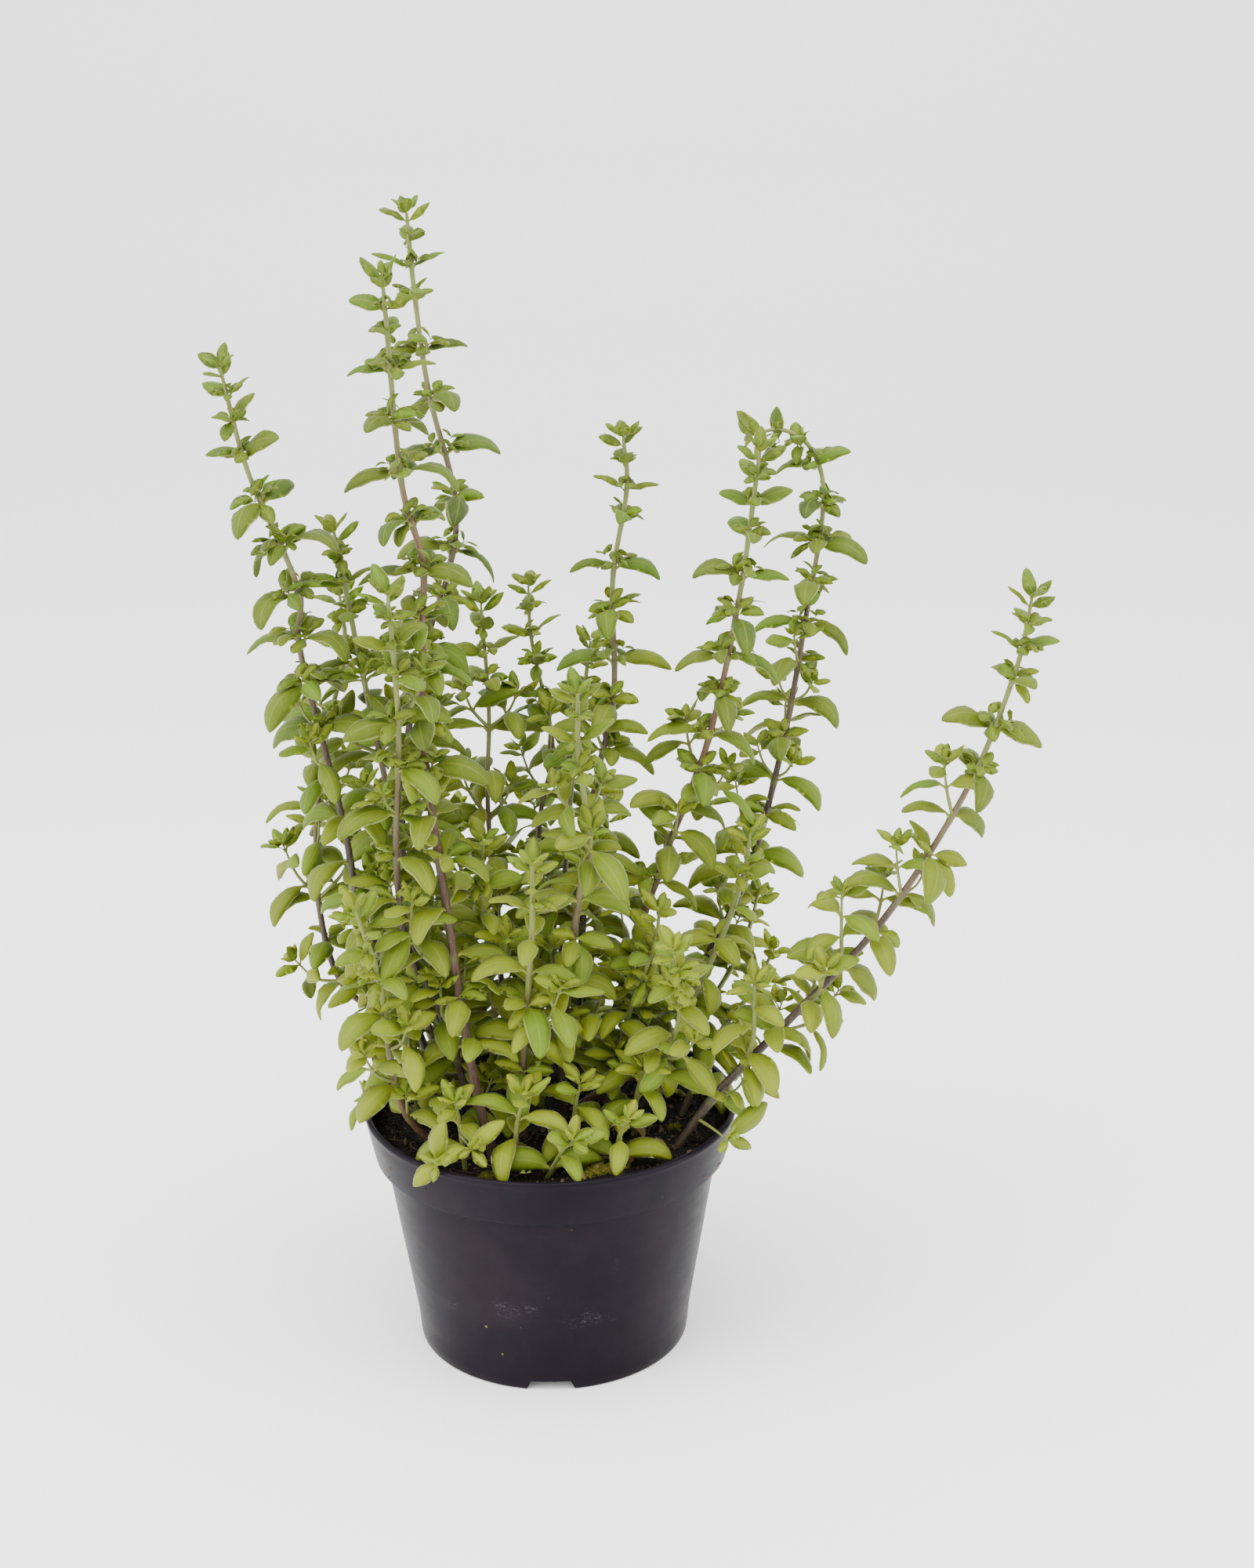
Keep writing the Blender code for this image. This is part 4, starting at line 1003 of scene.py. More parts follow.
def stemPoints(name, parts, look):
    # one mesh that holds a stem's route and a point for each of its leaves
    vertices, edges = [], []
    radius, age, joint = [], [], []
    for plan in parts:
        start = len(vertices)
        girth = plan["stem"]["girth"]
        total = plan["lengths"][-1]
        nodes = sorted({leaf["distance"] for leaf in plan["leaves"]})
        steps = max(8, int(total / 2.2))
        for i in range(steps + 1):
            distance = total * i / steps
            place, _ = placeOn(plan["route"], plan["lengths"], distance)
            fromTip = total - distance
            near = max([math.exp(-((fromTip - d) / 1.5) ** 2) for d in nodes] or [0.0])
            vertices.append(inPlace(place))
            taper = girth[0] + (girth[1] - girth[0]) * distance / total
            taper *= 1.0 - 0.35 * max(0.0, 1.0 - fromTip / 14.0)
            radius.append(taper * (1 + look["swelling"] * near) * mm)
            age.append(min(1.0, fromTip / plan["stem"].get("brown", 155.0)))
            joint.append(near)
        edges += [(start + i, start + i + 1) for i in range(steps)]
    routeCount = len(vertices)
    leaves = [leaf for plan in parts for leaf in [*plan["leaves"], *plan["tufts"]]]
    draw = random.Random(sum(map(ord, name)))
    frames = [leafFrame(leaf) for leaf in leaves]
    vertices += [inPlace(leaf["root"]) for leaf in leaves]
    mesh = meshFrom(name, vertices, [], edges)

    def onLeaves(values, elsewhere=0.0):
        return [elsewhere] * routeCount + list(values)

    still = [(0.0, 0.0, 0.0)] * routeCount
    addAttribute(mesh, "isLeaf", "BOOLEAN", onLeaves([True] * len(leaves), False))
    addAttribute(mesh, "isSmall", "BOOLEAN", onLeaves([leaf["length"] < bladeLook["smallBelow"] for leaf in leaves], False))
    addAttribute(mesh, "stemRadius", "FLOAT", radius + [0.0] * len(leaves))
    addAttribute(mesh, "stemAge", "FLOAT", age + [0.0] * len(leaves))
    addAttribute(mesh, "stemJoint", "FLOAT", joint + [0.0] * len(leaves))
    addAttribute(mesh, "leafRoot", "FLOAT_VECTOR", still + vertices[routeCount:])
    for i, label in enumerate(("leafOut", "leafUp", "leafAcross")):
        addAttribute(mesh, label, "FLOAT_VECTOR", still + [axes[i] for axes in frames])
    addAttribute(mesh, "leafLength", "FLOAT", onLeaves(leaf["length"] * look["long"] * mm for leaf in leaves))
    addAttribute(mesh, "leafRise", "FLOAT", onLeaves(math.radians(leaf["rise"]) for leaf in leaves))
    addAttribute(mesh, "leafBend", "FLOAT",
                 onLeaves(math.radians(leaf["droop"] - leaf["rise"]) for leaf in leaves))
    addAttribute(mesh, "leafFold", "FLOAT", onLeaves(draw.choice(look["folds"]) + draw.uniform(-0.12, 0.12) for _ in leaves))
    addAttribute(mesh, "leafBroad", "FLOAT",
                 onLeaves(look["broad"] + look["youngBroad"] * max(0.0, 1.0 - leaf["length"] / 18.0)
                          + draw.uniform(-0.07, 0.1) for leaf in leaves))
    addAttribute(mesh, "leafTwist", "FLOAT",
                 onLeaves(-axes[2].y * math.radians(look["twist"]) * draw.uniform(0.6, 1.3) for axes in frames))
    addAttribute(mesh, "leafHue", "FLOAT", onLeaves(draw.uniform(0.0, 1.0) for _ in leaves))
    addAttribute(mesh, "leafPhase", "FLOAT", onLeaves(draw.uniform(0.0, 6.3) for _ in leaves))
    # brighter low in the bush and in the youngest leaves, darker in the upper grown ones
    tints = []
    for leaf in leaves:
        height = min(1.0, max(0.0, (leaf["root"].z - 120.0) / 170.0))
        tints.append(0.74 - 0.6 * height + 0.2 * (1 - leaf["grown"]) + draw.uniform(-0.17, 0.17))
    addAttribute(mesh, "leafTint", "FLOAT", onLeaves(tints))
    return addPiece(name, mesh)


# Leaf: a fresh soft-haired blade, matt, with a pale midrib and side veins, a paler underside, and a paler margin
# brightened to paint the highlight that the leaf's edge catches.
leafColours = {"dark": "#32400b", "mid": "#54620b", "bright": "#737c13", "fresh": "#4a6a0b",
               "vein": "#7f853c", "under": "#6c7534", "stalk": "#85893a", "edge": "#a3a868"}


def leafSurface(name, colours):
    made, tree, shader = newMaterial(name, {
        "Roughness": 0.6, "Specular IOR Level": 0.26, "IOR": 1.42, "Subsurface Weight": 0.18,
        "Subsurface Radius": (0.7, 1.0, 0.15), "Subsurface Scale": 0.6 * mm,
        "Sheen Weight": 0.03, "Sheen Roughness": 0.45, "Sheen Tint": linear("#d8e0b0")})
    place = addNode(tree, "ShaderNodeAttribute", attribute_name="bladePlace")
    tint = addNode(tree, "ShaderNodeAttribute", attribute_name="leafTint")
    parts = addNode(tree, "ShaderNodeSeparateXYZ", [place.outputs["Vector"]])
    along, sideways, face = parts.outputs
    where = addNode(tree, "ShaderNodeTexCoord").outputs["Object"]
    patches = addNode(tree, "ShaderNodeTexNoise", {"Vector": where, "Scale": 1 / (9 * mm), "Detail": 3.0})
    shade = addNode(tree, "ShaderNodeMath", [patches, 0.5, tint.outputs["Fac"]], operation="MULTIPLY_ADD")
    shade = addNode(tree, "ShaderNodeMath", [shade, 0.25], operation="SUBTRACT")
    base = setRamp(addNode(tree, "ShaderNodeValToRGB", [shade]),
                   ((0.0, colours["dark"]), (0.45, colours["mid"]), (1.0, colours["bright"])))
    # some leaves are a fresher green than the rest
    hue = addNode(tree, "ShaderNodeAttribute", attribute_name="leafHue")
    fresher = addNode(tree, "ShaderNodeMapRange", {"Value": hue.outputs["Fac"], "From Min": 0.45, "From Max": 1.0,
                                                   "To Min": 0.0, "To Max": 0.55})
    base = addNode(tree, "ShaderNodeMix", {0: fresher, 6: base, 7: linear(colours["fresh"])},
                   data_type="RGBA").outputs[2]
    # side veins run from the midrib towards the tip, about 2.5 mm apart on a full leaf
    spread = addNode(tree, "ShaderNodeMath", [sideways], operation="ABSOLUTE")
    bow = addNode(tree, "ShaderNodeMath", [spread, -0.17, along], operation="MULTIPLY_ADD")
    rows = addNode(tree, "ShaderNodeMath", [bow, 8.0], operation="MULTIPLY")
    saw = addNode(tree, "ShaderNodeMath", [rows, 1.0], operation="PINGPONG")
    side = addNode(tree, "ShaderNodeMapRange", {"Value": saw, "From Min": 0.0, "From Max": 0.2,
                                                "To Min": 1.0, "To Max": 0.0})
    middle = addNode(tree, "ShaderNodeMapRange", {"Value": spread, "From Min": 0.02, "From Max": 0.11,
                                                  "To Min": 0.85, "To Max": 0.0})
    fading = addNode(tree, "ShaderNodeMapRange", {"Value": spread, "From Min": 0.4, "From Max": 0.95,
                                                  "To Min": 0.36, "To Max": 0.0})
    side = addNode(tree, "ShaderNodeMath", [side, fading], operation="MULTIPLY")
    veins = addNode(tree, "ShaderNodeMath", [side, middle], operation="MAXIMUM")
    colour = addNode(tree, "ShaderNodeMix", {0: 0.0, 6: base, 7: linear(colours["vein"])}, data_type="RGBA")
    tree.links.new(addNode(tree, "ShaderNodeMath", [veins, 0.34], operation="MULTIPLY").outputs[0],
                   colour.inputs[0])
    # painted highlight: the margin is mixed towards the pale edge colour, partly the leaf's own paler rim and
    # partly painted light caught by the edge
    rim = addNode(tree, "ShaderNodeMapRange", {"Value": spread, "From Min": 0.84, "From Max": 1.0,
                                               "To Min": 0.0, "To Max": 0.7})
    colour = addNode(tree, "ShaderNodeMix", {0: rim, 6: colour.outputs[2], 7: linear(colours["edge"])},
                     data_type="RGBA")
    under = addNode(tree, "ShaderNodeMapRange", {"Value": face, "From Min": -0.2, "From Max": -0.9,
                                                 "To Min": 0.0, "To Max": 0.62})
    colour = addNode(tree, "ShaderNodeMix", {0: under, 6: colour.outputs[2], 7: linear(colours["under"])},
                     data_type="RGBA")
    stalk = addNode(tree, "ShaderNodeMapRange", {"Value": along, "From Min": 0.05, "From Max": 0.19,
                                                 "To Min": 0.85, "To Max": 0.0})
    colour = addNode(tree, "ShaderNodeMix", {0: stalk, 6: colour.outputs[2], 7: linear(colours["stalk"])},
                     data_type="RGBA")
    tree.links.new(colour.outputs[2], shader.inputs["Base Color"])
    # short down between sunken veins, grain about 0.35 mm
    down = addNode(tree, "ShaderNodeTexNoise", {"Vector": where, "Scale": 1 / (0.7 * mm), "Detail": 3.0})
    sunk = addNode(tree, "ShaderNodeMath", [veins, -0.8, down], operation="MULTIPLY_ADD")
    bump = addNode(tree, "ShaderNodeBump", {"Strength": 0.4, "Distance": 0.2 * mm, "Height": sunk})
    tree.links.new(bump.outputs[0], shader.inputs["Normal"])
    rough = addNode(tree, "ShaderNodeMapRange", {"Value": down, "To Min": 0.48, "To Max": 0.68})
    tree.links.new(rough.outputs[0], shader.inputs["Roughness"])
    return made


# Stem: soft green at the tip, woody towards the root, with pale ridges and darker joints.
stemColours = {"tip": "#6f7a34", "young": "#66702f", "middle": "#574a30", "old": "#3c2920",
               "root": "#2a1d17", "joint": "#535c26", "streak": "#6f6446"}


def stemSurface(name, colours):
    made, tree, shader = newMaterial(name, {
        "Roughness": 0.55, "Specular IOR Level": 0.4, "Subsurface Weight": 0.1,
        "Subsurface Radius": (0.7, 0.6, 0.3), "Subsurface Scale": 0.5 * mm})
    age = addNode(tree, "ShaderNodeAttribute", attribute_name="stemAge").outputs["Fac"]
    joint = addNode(tree, "ShaderNodeAttribute", attribute_name="stemJoint").outputs["Fac"]
    where = addNode(tree, "ShaderNodeTexCoord").outputs["Object"]
    patches = addNode(tree, "ShaderNodeTexNoise", {"Vector": where, "Scale": 1 / (14 * mm), "Detail": 3.0})
    shade = addNode(tree, "ShaderNodeMath", [patches, 0.4, age], operation="MULTIPLY_ADD")
    shade = addNode(tree, "ShaderNodeMath", [shade, 0.2], operation="SUBTRACT")
    base = setRamp(addNode(tree, "ShaderNodeValToRGB", [shade]),
                   ((0.0, colours["tip"]), (0.28, colours["young"]), (0.5, colours["middle"]),
                    (0.74, colours["old"]), (1.0, colours["root"])))
    # fine streaks along the bark, 0.4 mm across and about 5 mm long
    long = addNode(tree, "ShaderNodeMapping", [where, None, None, (1.0, 1.0, 0.09)])
    streaks = addNode(tree, "ShaderNodeTexNoise", {"Vector": long, "Scale": 1 / (0.5 * mm), "Detail": 3.0})
    light = addNode(tree, "ShaderNodeMapRange", {"Value": streaks, "From Min": 0.35, "From Max": 0.7,
                                                 "To Min": 0.0, "To Max": 0.35})
    colour = addNode(tree, "ShaderNodeMix", {0: light, 6: base, 7: linear(colours["streak"])}, data_type="RGBA")
    knot = addNode(tree, "ShaderNodeMath", [joint, 0.5], operation="MULTIPLY")
    colour = addNode(tree, "ShaderNodeMix", {0: knot, 6: colour.outputs[2], 7: linear(colours["joint"])},
                     data_type="RGBA")
    tree.links.new(colour.outputs[2], shader.inputs["Base Color"])
    bump = addNode(tree, "ShaderNodeBump", {"Strength": 0.5, "Distance": 0.2 * mm, "Height": streaks})
    tree.links.new(bump.outputs[0], shader.inputs["Normal"])
    return made


def hairSurface():
    made, tree, shader = newMaterial("stemHair", {
        "Roughness": 0.5, "Specular IOR Level": 0.4})
    where = addNode(tree, "ShaderNodeTexCoord").outputs["Object"]
    tone = addNode(tree, "ShaderNodeTexNoise", {"Vector": where, "Scale": 1 / (6 * mm)})
    base = setRamp(addNode(tree, "ShaderNodeValToRGB", [tone]), ((0.3, "#77794c"), (0.7, "#989a6c")))
    tree.links.new(base.outputs[0], shader.inputs["Base Color"])
    return made


freshLeaf = leafSurface("softHairedLeaf", leafColours)
greenBark = stemSurface("greenToBrownStem", stemColours)
redBark = stemSurface("reddishStem", {**stemColours, "middle": "#5c4029", "old": "#4b2c1c", "root": "#3d2115"})
paleHair = hairSurface()
reddish = ("stem_tall_front", "stem_left_low", "stem_right_low", "stem_right_tall")

largeBlank = bladeBlank("largeBlade", bladeLook["along"], 4)
smallBlank = bladeBlank("smallBlade", bladeLook["smallAlong"], 2)
stemTree = leafyStemTree(bladeLook, hairLook)
stemSizes = {
    "Large blade": largeBlank, "Small blade": smallBlank, "Half width": leafLook["halfWidth"],
    "Leaf stalk": bladeLook["petiole"], "Blade thickness": bladeLook["thickness"],
    "Stalk thickness": bladeLook["stalkThickness"], "Midrib groove": bladeLook["groove"],
    "Margin wave": bladeLook["wave"], "Hair density": hairLook["density"], "Hair length": hairLook["length"],
    "Hair thickness": hairLook["thickness"], "Leaf surface": freshLeaf, "Stem surface": greenBark,
    "Hair surface": paleHair}
for name in stems:
    parts = [plan for plan in plans if plan["name"] == name]
    bark = redBark if name in reddish else greenBark
    piece = runTree(stemTree, stemPoints(name + "_line", parts, stemLook),
                    {**stemSizes, "Stem surface": bark}, "leafy_" + name)
    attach(piece, "root")
    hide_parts(name)
print("leafy stems grown:", len(stems))


# A dry twig trails over the soil, with curled dead leaves on it and scattered round it.
trailLook = {
    "route": ((35, -25, 81.2), (25, -33, 80.8), (14, -35.5, 81.6), (5, -39.5, 80.4)),
    "girth": (0.8, 0.5),
    # place on the soil, direction, length and roll of each dead leaf
    "leaves": ((30, -28, 20, 11, 30), (29, -29, 250, 10, -20), (20, -34, 60, 9, 40), (19, -34.5, 230, 12, 10),
               (12, -36, 100, 8, -30), (9, -37.5, 290, 10, 20), (5, -39.5, 180, 9, 0), (5, -39.5, 215, 7, 40),
               (33, -20, 140, 14, 25), (-30, -33, 70, 12, -25), (-14, -27, 330, 10, 15), (38, 14, 40, 13, -20),
               (-42, 8, 190, 11, 30), (-6, 30, 100, 12, 10), (24, 44, 20, 11, -35), (-24, 30, 240, 10, 20)),
    "soil": 80.2,
    "folds": (-1.2, -0.9, 0.8, -1.4, 0.6, -1.0),
    # the dry edge colour is mixed onto each dead leaf's margin as a painted highlight over its paler rim
    "dry": {"dark": "#3a2c14", "mid": "#5b4a22", "bright": "#7a6a38", "fresh": "#50512a", "vein": "#8a7a4a",
            "under": "#6c6040", "stalk": "#5d4a2a", "edge": "#8d8050"},
    "bark": {"tip": "#6a6040", "young": "#5f5238", "middle": "#54442e", "old": "#43342a", "root": "#33261e"},
}


def trailPlan(look):
    route = smoothRoute(look["route"])
    lengths = routeLengths(route)
    leaves = [{"direction": Vector((0, 0, 1)), "azimuth": turn, "length": length, "roll": roll, "rise": 34.0,
               "droop": -74.0 + roll, "distance": 8.0 * i, "grown": 0.5, "root": Vector((x, y, look["soil"]))}
              for i, (x, y, turn, length, roll) in enumerate(look["leaves"])]
    return {"name": "trail", "route": route, "lengths": lengths, "leaves": leaves, "tufts": [],
            "stem": {"girth": look["girth"], "turn": 30}}


deadLeaf = leafSurface("curledDeadLeaf", trailLook["dry"])
dryBark = stemSurface("dryBark", {**stemColours, **trailLook["bark"]})
trail = runTree(stemTree, stemPoints("trailLine", [trailPlan(trailLook)],
                                     {**stemLook, "folds": trailLook["folds"], "twist": 0.0}),
                {**stemSizes, "Leaf surface": deadLeaf, "Stem surface": dryBark}, "trailingDryTwig")
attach(trail, "root")
for blank in (largeBlank, smallBlank):
    bpy.data.objects.remove(blank, do_unlink=True)
print("dry twig laid")


# Pot: one moulded shell of black polypropylene, turned from its section, then notched and drilled.
potLook = {
    "rim": 65.0, "height": 87.0, "band": 17.0, "bandFoot": 61.8, "bodyTop": 58.2, "bodyFoot": 48.6,
    "footHeight": 10.0, "ring": 47.6, "ringWidth": 2.2, "wall": 1.6, "floor": 4.0,
    "lip": 1.15,                   # radius of the rolled lip
    "mouldLines": (29.5, 49.0, 58.0),
    "mouldLine": 0.008,            # how far a mould line stands out
    "steps": 180, "notches": 4, "notchTop": 13.7, "notchFoot": 17.6, "notchHeight": 3.6,
    "drains": 5, "drainRadius": 4.5, "drainCircle": 30.0,
    "scratchBelts": ((49.5, 3.5), (31.0, 6.0)),   # height and reach of each belt
    "scratchShift": (0.012, 0.004, 0.02),
    "scratchColour": "#45404a", "rubColour": "#2a242b", "gritColour": "#6f6a44",
}


def potSection(look):
    # the wall's section from the lip, down the outside, under the floor and up the inside
    rim, height, lip = look["rim"], look["height"], look["lip"]
    step = height - look["band"]
    centre = rim - lip
    section = [(centre + lip * math.sin(turn), height - lip + lip * math.cos(turn))
               for turn in [math.radians(a) for a in range(-80, 121, 20)]]
    section += [(rim - 0.45, height - 3.0), (rim - 0.6, height - 4.0)]
    for share in (0.35, 0.7):
        section.append((rim - 0.6 + (look["bandFoot"] - rim + 0.6) * share,
                        height - 4.0 + (step + 1.0 - height + 4.0) * share))
    section += [(look["bandFoot"], step + 0.9), (look["bandFoot"] - 0.15, step + 0.35),
                (look["bandFoot"] - 0.6, step), (look["bodyTop"] + 0.6, step - 0.15),
                (look["bodyTop"] + 0.1, step - 0.6)]

    def bodyRadius(z):
        share = (z - look["footHeight"]) / (step - 0.5 - look["footHeight"])
        return look["bodyFoot"] + (look["bodyTop"] - look["bodyFoot"]) * share

    for z in sorted(look["mouldLines"], reverse=True):
        section += [(bodyRadius(z + 0.5), z + 0.5), (bodyRadius(z) + look["mouldLine"], z),
                    (bodyRadius(z - 0.5), z - 0.5)]
    section += [(bodyRadius(11.0), 11.0), (look["bodyFoot"] - 0.1, 9.2), (look["ring"] + 0.45, 4.0),
                (look["ring"] + 0.15, 0.9), (look["ring"] - 0.2, 0.25), (look["ring"] - 0.6, 0.0)]
    inner = look["ring"] - look["ringWidth"]
    section += [(inner, 0.0), (inner - 0.2, look["floor"]), (20.0, look["floor"]), (0.0, look["floor"])]
    section += [(0.0, look["floor"] + look["wall"]), (20.0, look["floor"] + look["wall"]),
                (look["bodyFoot"] - look["wall"] - 1.0, look["floor"] + look["wall"]),
                (look["bodyTop"] - look["wall"], step + 0.4), (look["bandFoot"] - look["wall"], step + 1.4),
                (rim - 2.3, height - 1.6)]
    return section


def turnSection(name, section, steps):
    shape = bmesh.new()
    points = [shape.verts.new((r * mm, 0.0, z * mm)) for r, z in [*section, section[0]]]
    rings = [shape.edges.new(pair) for pair in zip(points, points[1:])]
    bmesh.ops.spin(shape, geom=points + rings, cent=(0, 0, 0), axis=(0, 0, 1), angle=math.tau,
                   steps=steps, use_merge=True)
    bmesh.ops.remove_doubles(shape, verts=shape.verts, dist=1e-6)
    bmesh.ops.dissolve_degenerate(shape, edges=shape.edges, dist=1e-7)
    bmesh.ops.recalc_face_normals(shape, faces=shape.faces)
    mesh = bpy.data.meshes.new(name)
    shape.to_mesh(mesh)
    shape.free()
    return addPiece(name, mesh)


def potCutters(look):
    # notches in the standing ring, and round drain holes in the floor, as one cutter
    vertices, faces = [], []
    for i in range(look["notches"]):
        turn = math.radians(-90.0 + 360.0 * i / look["notches"])
        along = Vector((math.cos(turn), math.sin(turn), 0.0))
        across = Vector((-math.sin(turn), math.cos(turn), 0.0))
        start = len(vertices)
        for radius in (look["ring"] - 6.0, look["ring"] + 6.0):
            for x, z in ((-look["notchFoot"] / 2, -1.0), (look["notchFoot"] / 2, -1.0),
                         (look["notchTop"] / 2, look["notchHeight"]),
                         (-look["notchTop"] / 2, look["notchHeight"])):
                vertices.append((along * radius + across * x + Vector((0, 0, z))) * mm)
        faces += [[start + 3, start + 2, start + 1, start], [start + 4, start + 5, start + 6, start + 7]]
        faces += [[start + k, start + (k + 1) % 4, start + 4 + (k + 1) % 4, start + 4 + k] for k in range(4)]
    for i in range(look["drains"]):
        turn = math.tau * (i + 0.5) / look["drains"]
        start, sides = len(vertices), 32
        for z in (look["floor"] - 1.0, look["floor"] + look["wall"] + 1.0):
            for k in range(sides):
                a = math.tau * k / sides
                vertices.append(Vector((look["drainCircle"] * math.cos(turn) + look["drainRadius"] * math.cos(a),
                                        look["drainCircle"] * math.sin(turn) + look["drainRadius"] * math.sin(a),
                                        z)) * mm)
        faces += [list(range(start, start + sides))[::-1], list(range(start + sides, start + 2 * sides))]
        faces += [[start + k, start + (k + 1) % sides, start + sides + (k + 1) % sides, start + sides + k]
                  for k in range(sides)]
    return addPiece("potCutter", meshFrom("potCutter", vertices, faces))


def applyBoolean(piece, cutter):
    cut = piece.modifiers.new("cut", "BOOLEAN")
    cut.operation, cut.solver, cut.object = "DIFFERENCE", "EXACT", cutter
    bpy.context.view_layer.update()
    mesh = bpy.data.meshes.new_from_object(piece.evaluated_get(bpy.context.evaluated_depsgraph_get()))
    piece.modifiers.remove(cut)
    piece.data = mesh
    bpy.data.objects.remove(cutter, do_unlink=True)


def potSurface(look):
    # black polypropylene, satin from the mould, with fine scratches in two belts and specks of grit
    made, tree, shader = newMaterial("blackMouldedPolypropylene", {
        "Roughness": 0.34, "IOR": 1.49, "Specular IOR Level": 0.06})
    where = addNode(tree, "ShaderNodeTexCoord").outputs["Object"]
    height = addNode(tree, "ShaderNodeSeparateXYZ", [where]).outputs[2]
    cloud = addNode(tree, "ShaderNodeTexNoise", {"Vector": where, "Scale": 1 / (40 * mm), "Detail": 4.0,
                                                 "Roughness": 0.55})
    base = setRamp(addNode(tree, "ShaderNodeValToRGB", [cloud]),
                   ((0.3, "#0d0a10"), (0.5, "#120e15"), (0.72, "#1d161c")))
    # dull rub marks, 9 mm long
    level = addNode(tree, "ShaderNodeMapping", [where, None, None, (1.0, 1.0, 3.0)])
    scuff = addNode(tree, "ShaderNodeTexNoise", {"Vector": level, "Scale": 1 / (9 * mm), "Detail": 7.0,
                                                 "Roughness": 0.7})
    rubbed = addNode(tree, "ShaderNodeMapRange", {"Value": scuff, "From Min": 0.6, "From Max": 0.8,
                                                  "To Min": 0.0, "To Max": 0.3})
    colour = addNode(tree, "ShaderNodeMix", {0: rubbed, 6: base, 7: linear(look["rubColour"])}, data_type="RGBA")
    # a scratch is a thin contour of a noise, kept only in the belts and where a coarser noise is high
    lines = addNode(tree, "ShaderNodeTexNoise", {"Vector": level, "Scale": 1 / (4 * mm), "Detail": 2.0})
    offLine = addNode(tree, "ShaderNodeMath", [lines, 0.5], operation="SUBTRACT")
    offLine = addNode(tree, "ShaderNodeMath", [offLine], operation="ABSOLUTE")
    thin = addNode(tree, "ShaderNodeMapRange", {"Value": offLine, "From Min": 0.002, "From Max": 0.009,
                                                "To Min": 1.0, "To Max": 0.0})
    where2 = addNode(tree, "ShaderNodeMapping", [where, look["scratchShift"]])
    patches = addNode(tree, "ShaderNodeTexNoise", {"Vector": where2, "Scale": 1 / (13 * mm), "Detail": 1.0})
    kept = addNode(tree, "ShaderNodeMapRange", {"Value": patches, "From Min": 0.58, "From Max": 0.68})
    belts = None
    for middle, reach in look["scratchBelts"]:
        away = addNode(tree, "ShaderNodeMath", [height, middle * mm], operation="SUBTRACT")
        away = addNode(tree, "ShaderNodeMath", [away], operation="ABSOLUTE")
        belt = addNode(tree, "ShaderNodeMapRange", {"Value": away, "From Min": reach * 0.6 * mm,
                                                    "From Max": reach * mm, "To Min": 1.0, "To Max": 0.0})
        belts = belt if belts is None else addNode(tree, "ShaderNodeMath", [belts, belt], operation="MAXIMUM")
    scratch = addNode(tree, "ShaderNodeMath", [thin, kept], operation="MULTIPLY")
    scratch = addNode(tree, "ShaderNodeMath", [scratch, belts], operation="MULTIPLY")
    colour = addNode(tree, "ShaderNodeMix", {0: scratch, 6: colour.outputs[2], 7: linear(look["scratchColour"])},
                     data_type="RGBA")
    # grit, mostly low on the wall
    grit = addNode(tree, "ShaderNodeTexVoronoi", {"Vector": where, "Scale": 1 / (12 * mm)}, feature="F1")
    specks = addNode(tree, "ShaderNodeMapRange", {"Value": grit, "From Min": 0.03, "From Max": 0.05,
                                                  "To Min": 1.0, "To Max": 0.0})
    lowDown = addNode(tree, "ShaderNodeMapRange", {"Value": height, "From Min": 20 * mm, "From Max": 34 * mm,
                                                   "To Min": 0.9, "To Max": 0.15})
    specks = addNode(tree, "ShaderNodeMath", [specks, lowDown], operation="MULTIPLY")
    colour = addNode(tree, "ShaderNodeMix", {0: specks, 6: colour.outputs[2], 7: linear(look["gritColour"])},
                     data_type="RGBA")
    tree.links.new(colour.outputs[2], shader.inputs["Base Color"])
    rough = addNode(tree, "ShaderNodeMapRange", {"Value": scuff, "From Min": 0.3, "From Max": 0.8,
                                                 "To Min": 0.3, "To Max": 0.42})
    rough = addNode(tree, "ShaderNodeMath", [scratch, 0.12, rough], operation="MULTIPLY_ADD")
    tree.links.new(rough.outputs[0], shader.inputs["Roughness"])
    grain = addNode(tree, "ShaderNodeTexNoise", {"Vector": where, "Scale": 1 / (1.2 * mm), "Detail": 3.0})
    raised = addNode(tree, "ShaderNodeMath", [scratch, 0.4, grain], operation="MULTIPLY_ADD")
    bump = addNode(tree, "ShaderNodeBump", {"Strength": 0.15, "Distance": 0.1 * mm, "Height": raised})
    wavy = addNode(tree, "ShaderNodeBump", {"Strength": 0.08, "Distance": 0.8 * mm, "Height": cloud,
                                            "Normal": bump})
    tree.links.new(wavy.outputs[0], shader.inputs["Normal"])
    return made


pot = turnSection("nurseryPot", potSection(potLook), potLook["steps"])
applyBoolean(pot, potCutters(potLook))
pot.data.transform(Matrix.Translation(potAxis))
pot.data.materials.clear()
pot.data.materials.append(potSurface(potLook))
pot.data.shade_smooth()
pot.data.set_sharp_from_angle(angle=math.radians(32))
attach(pot, "root")
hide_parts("pot")
print("pot moulded, faces:", len(pot.data.polygons))


# Soil: a peat root ball with an uneven top, crumbs, pale grit and fibres on it.
soilLook = {
    "top": 79.0, "bump": 1.1, "gap": 0.3, "steps": 96, "rings": 30,
    "crumbDensity": 0.42e6, "crumb": 1.0 * mm, "lumpDensity": 0.035e6, "lump": 2.6 * mm,
    "fibreDensity": 0.012e6, "fibre": 9.0 * mm, "fibreRadius": 0.16 * mm, "seed": 12,
}


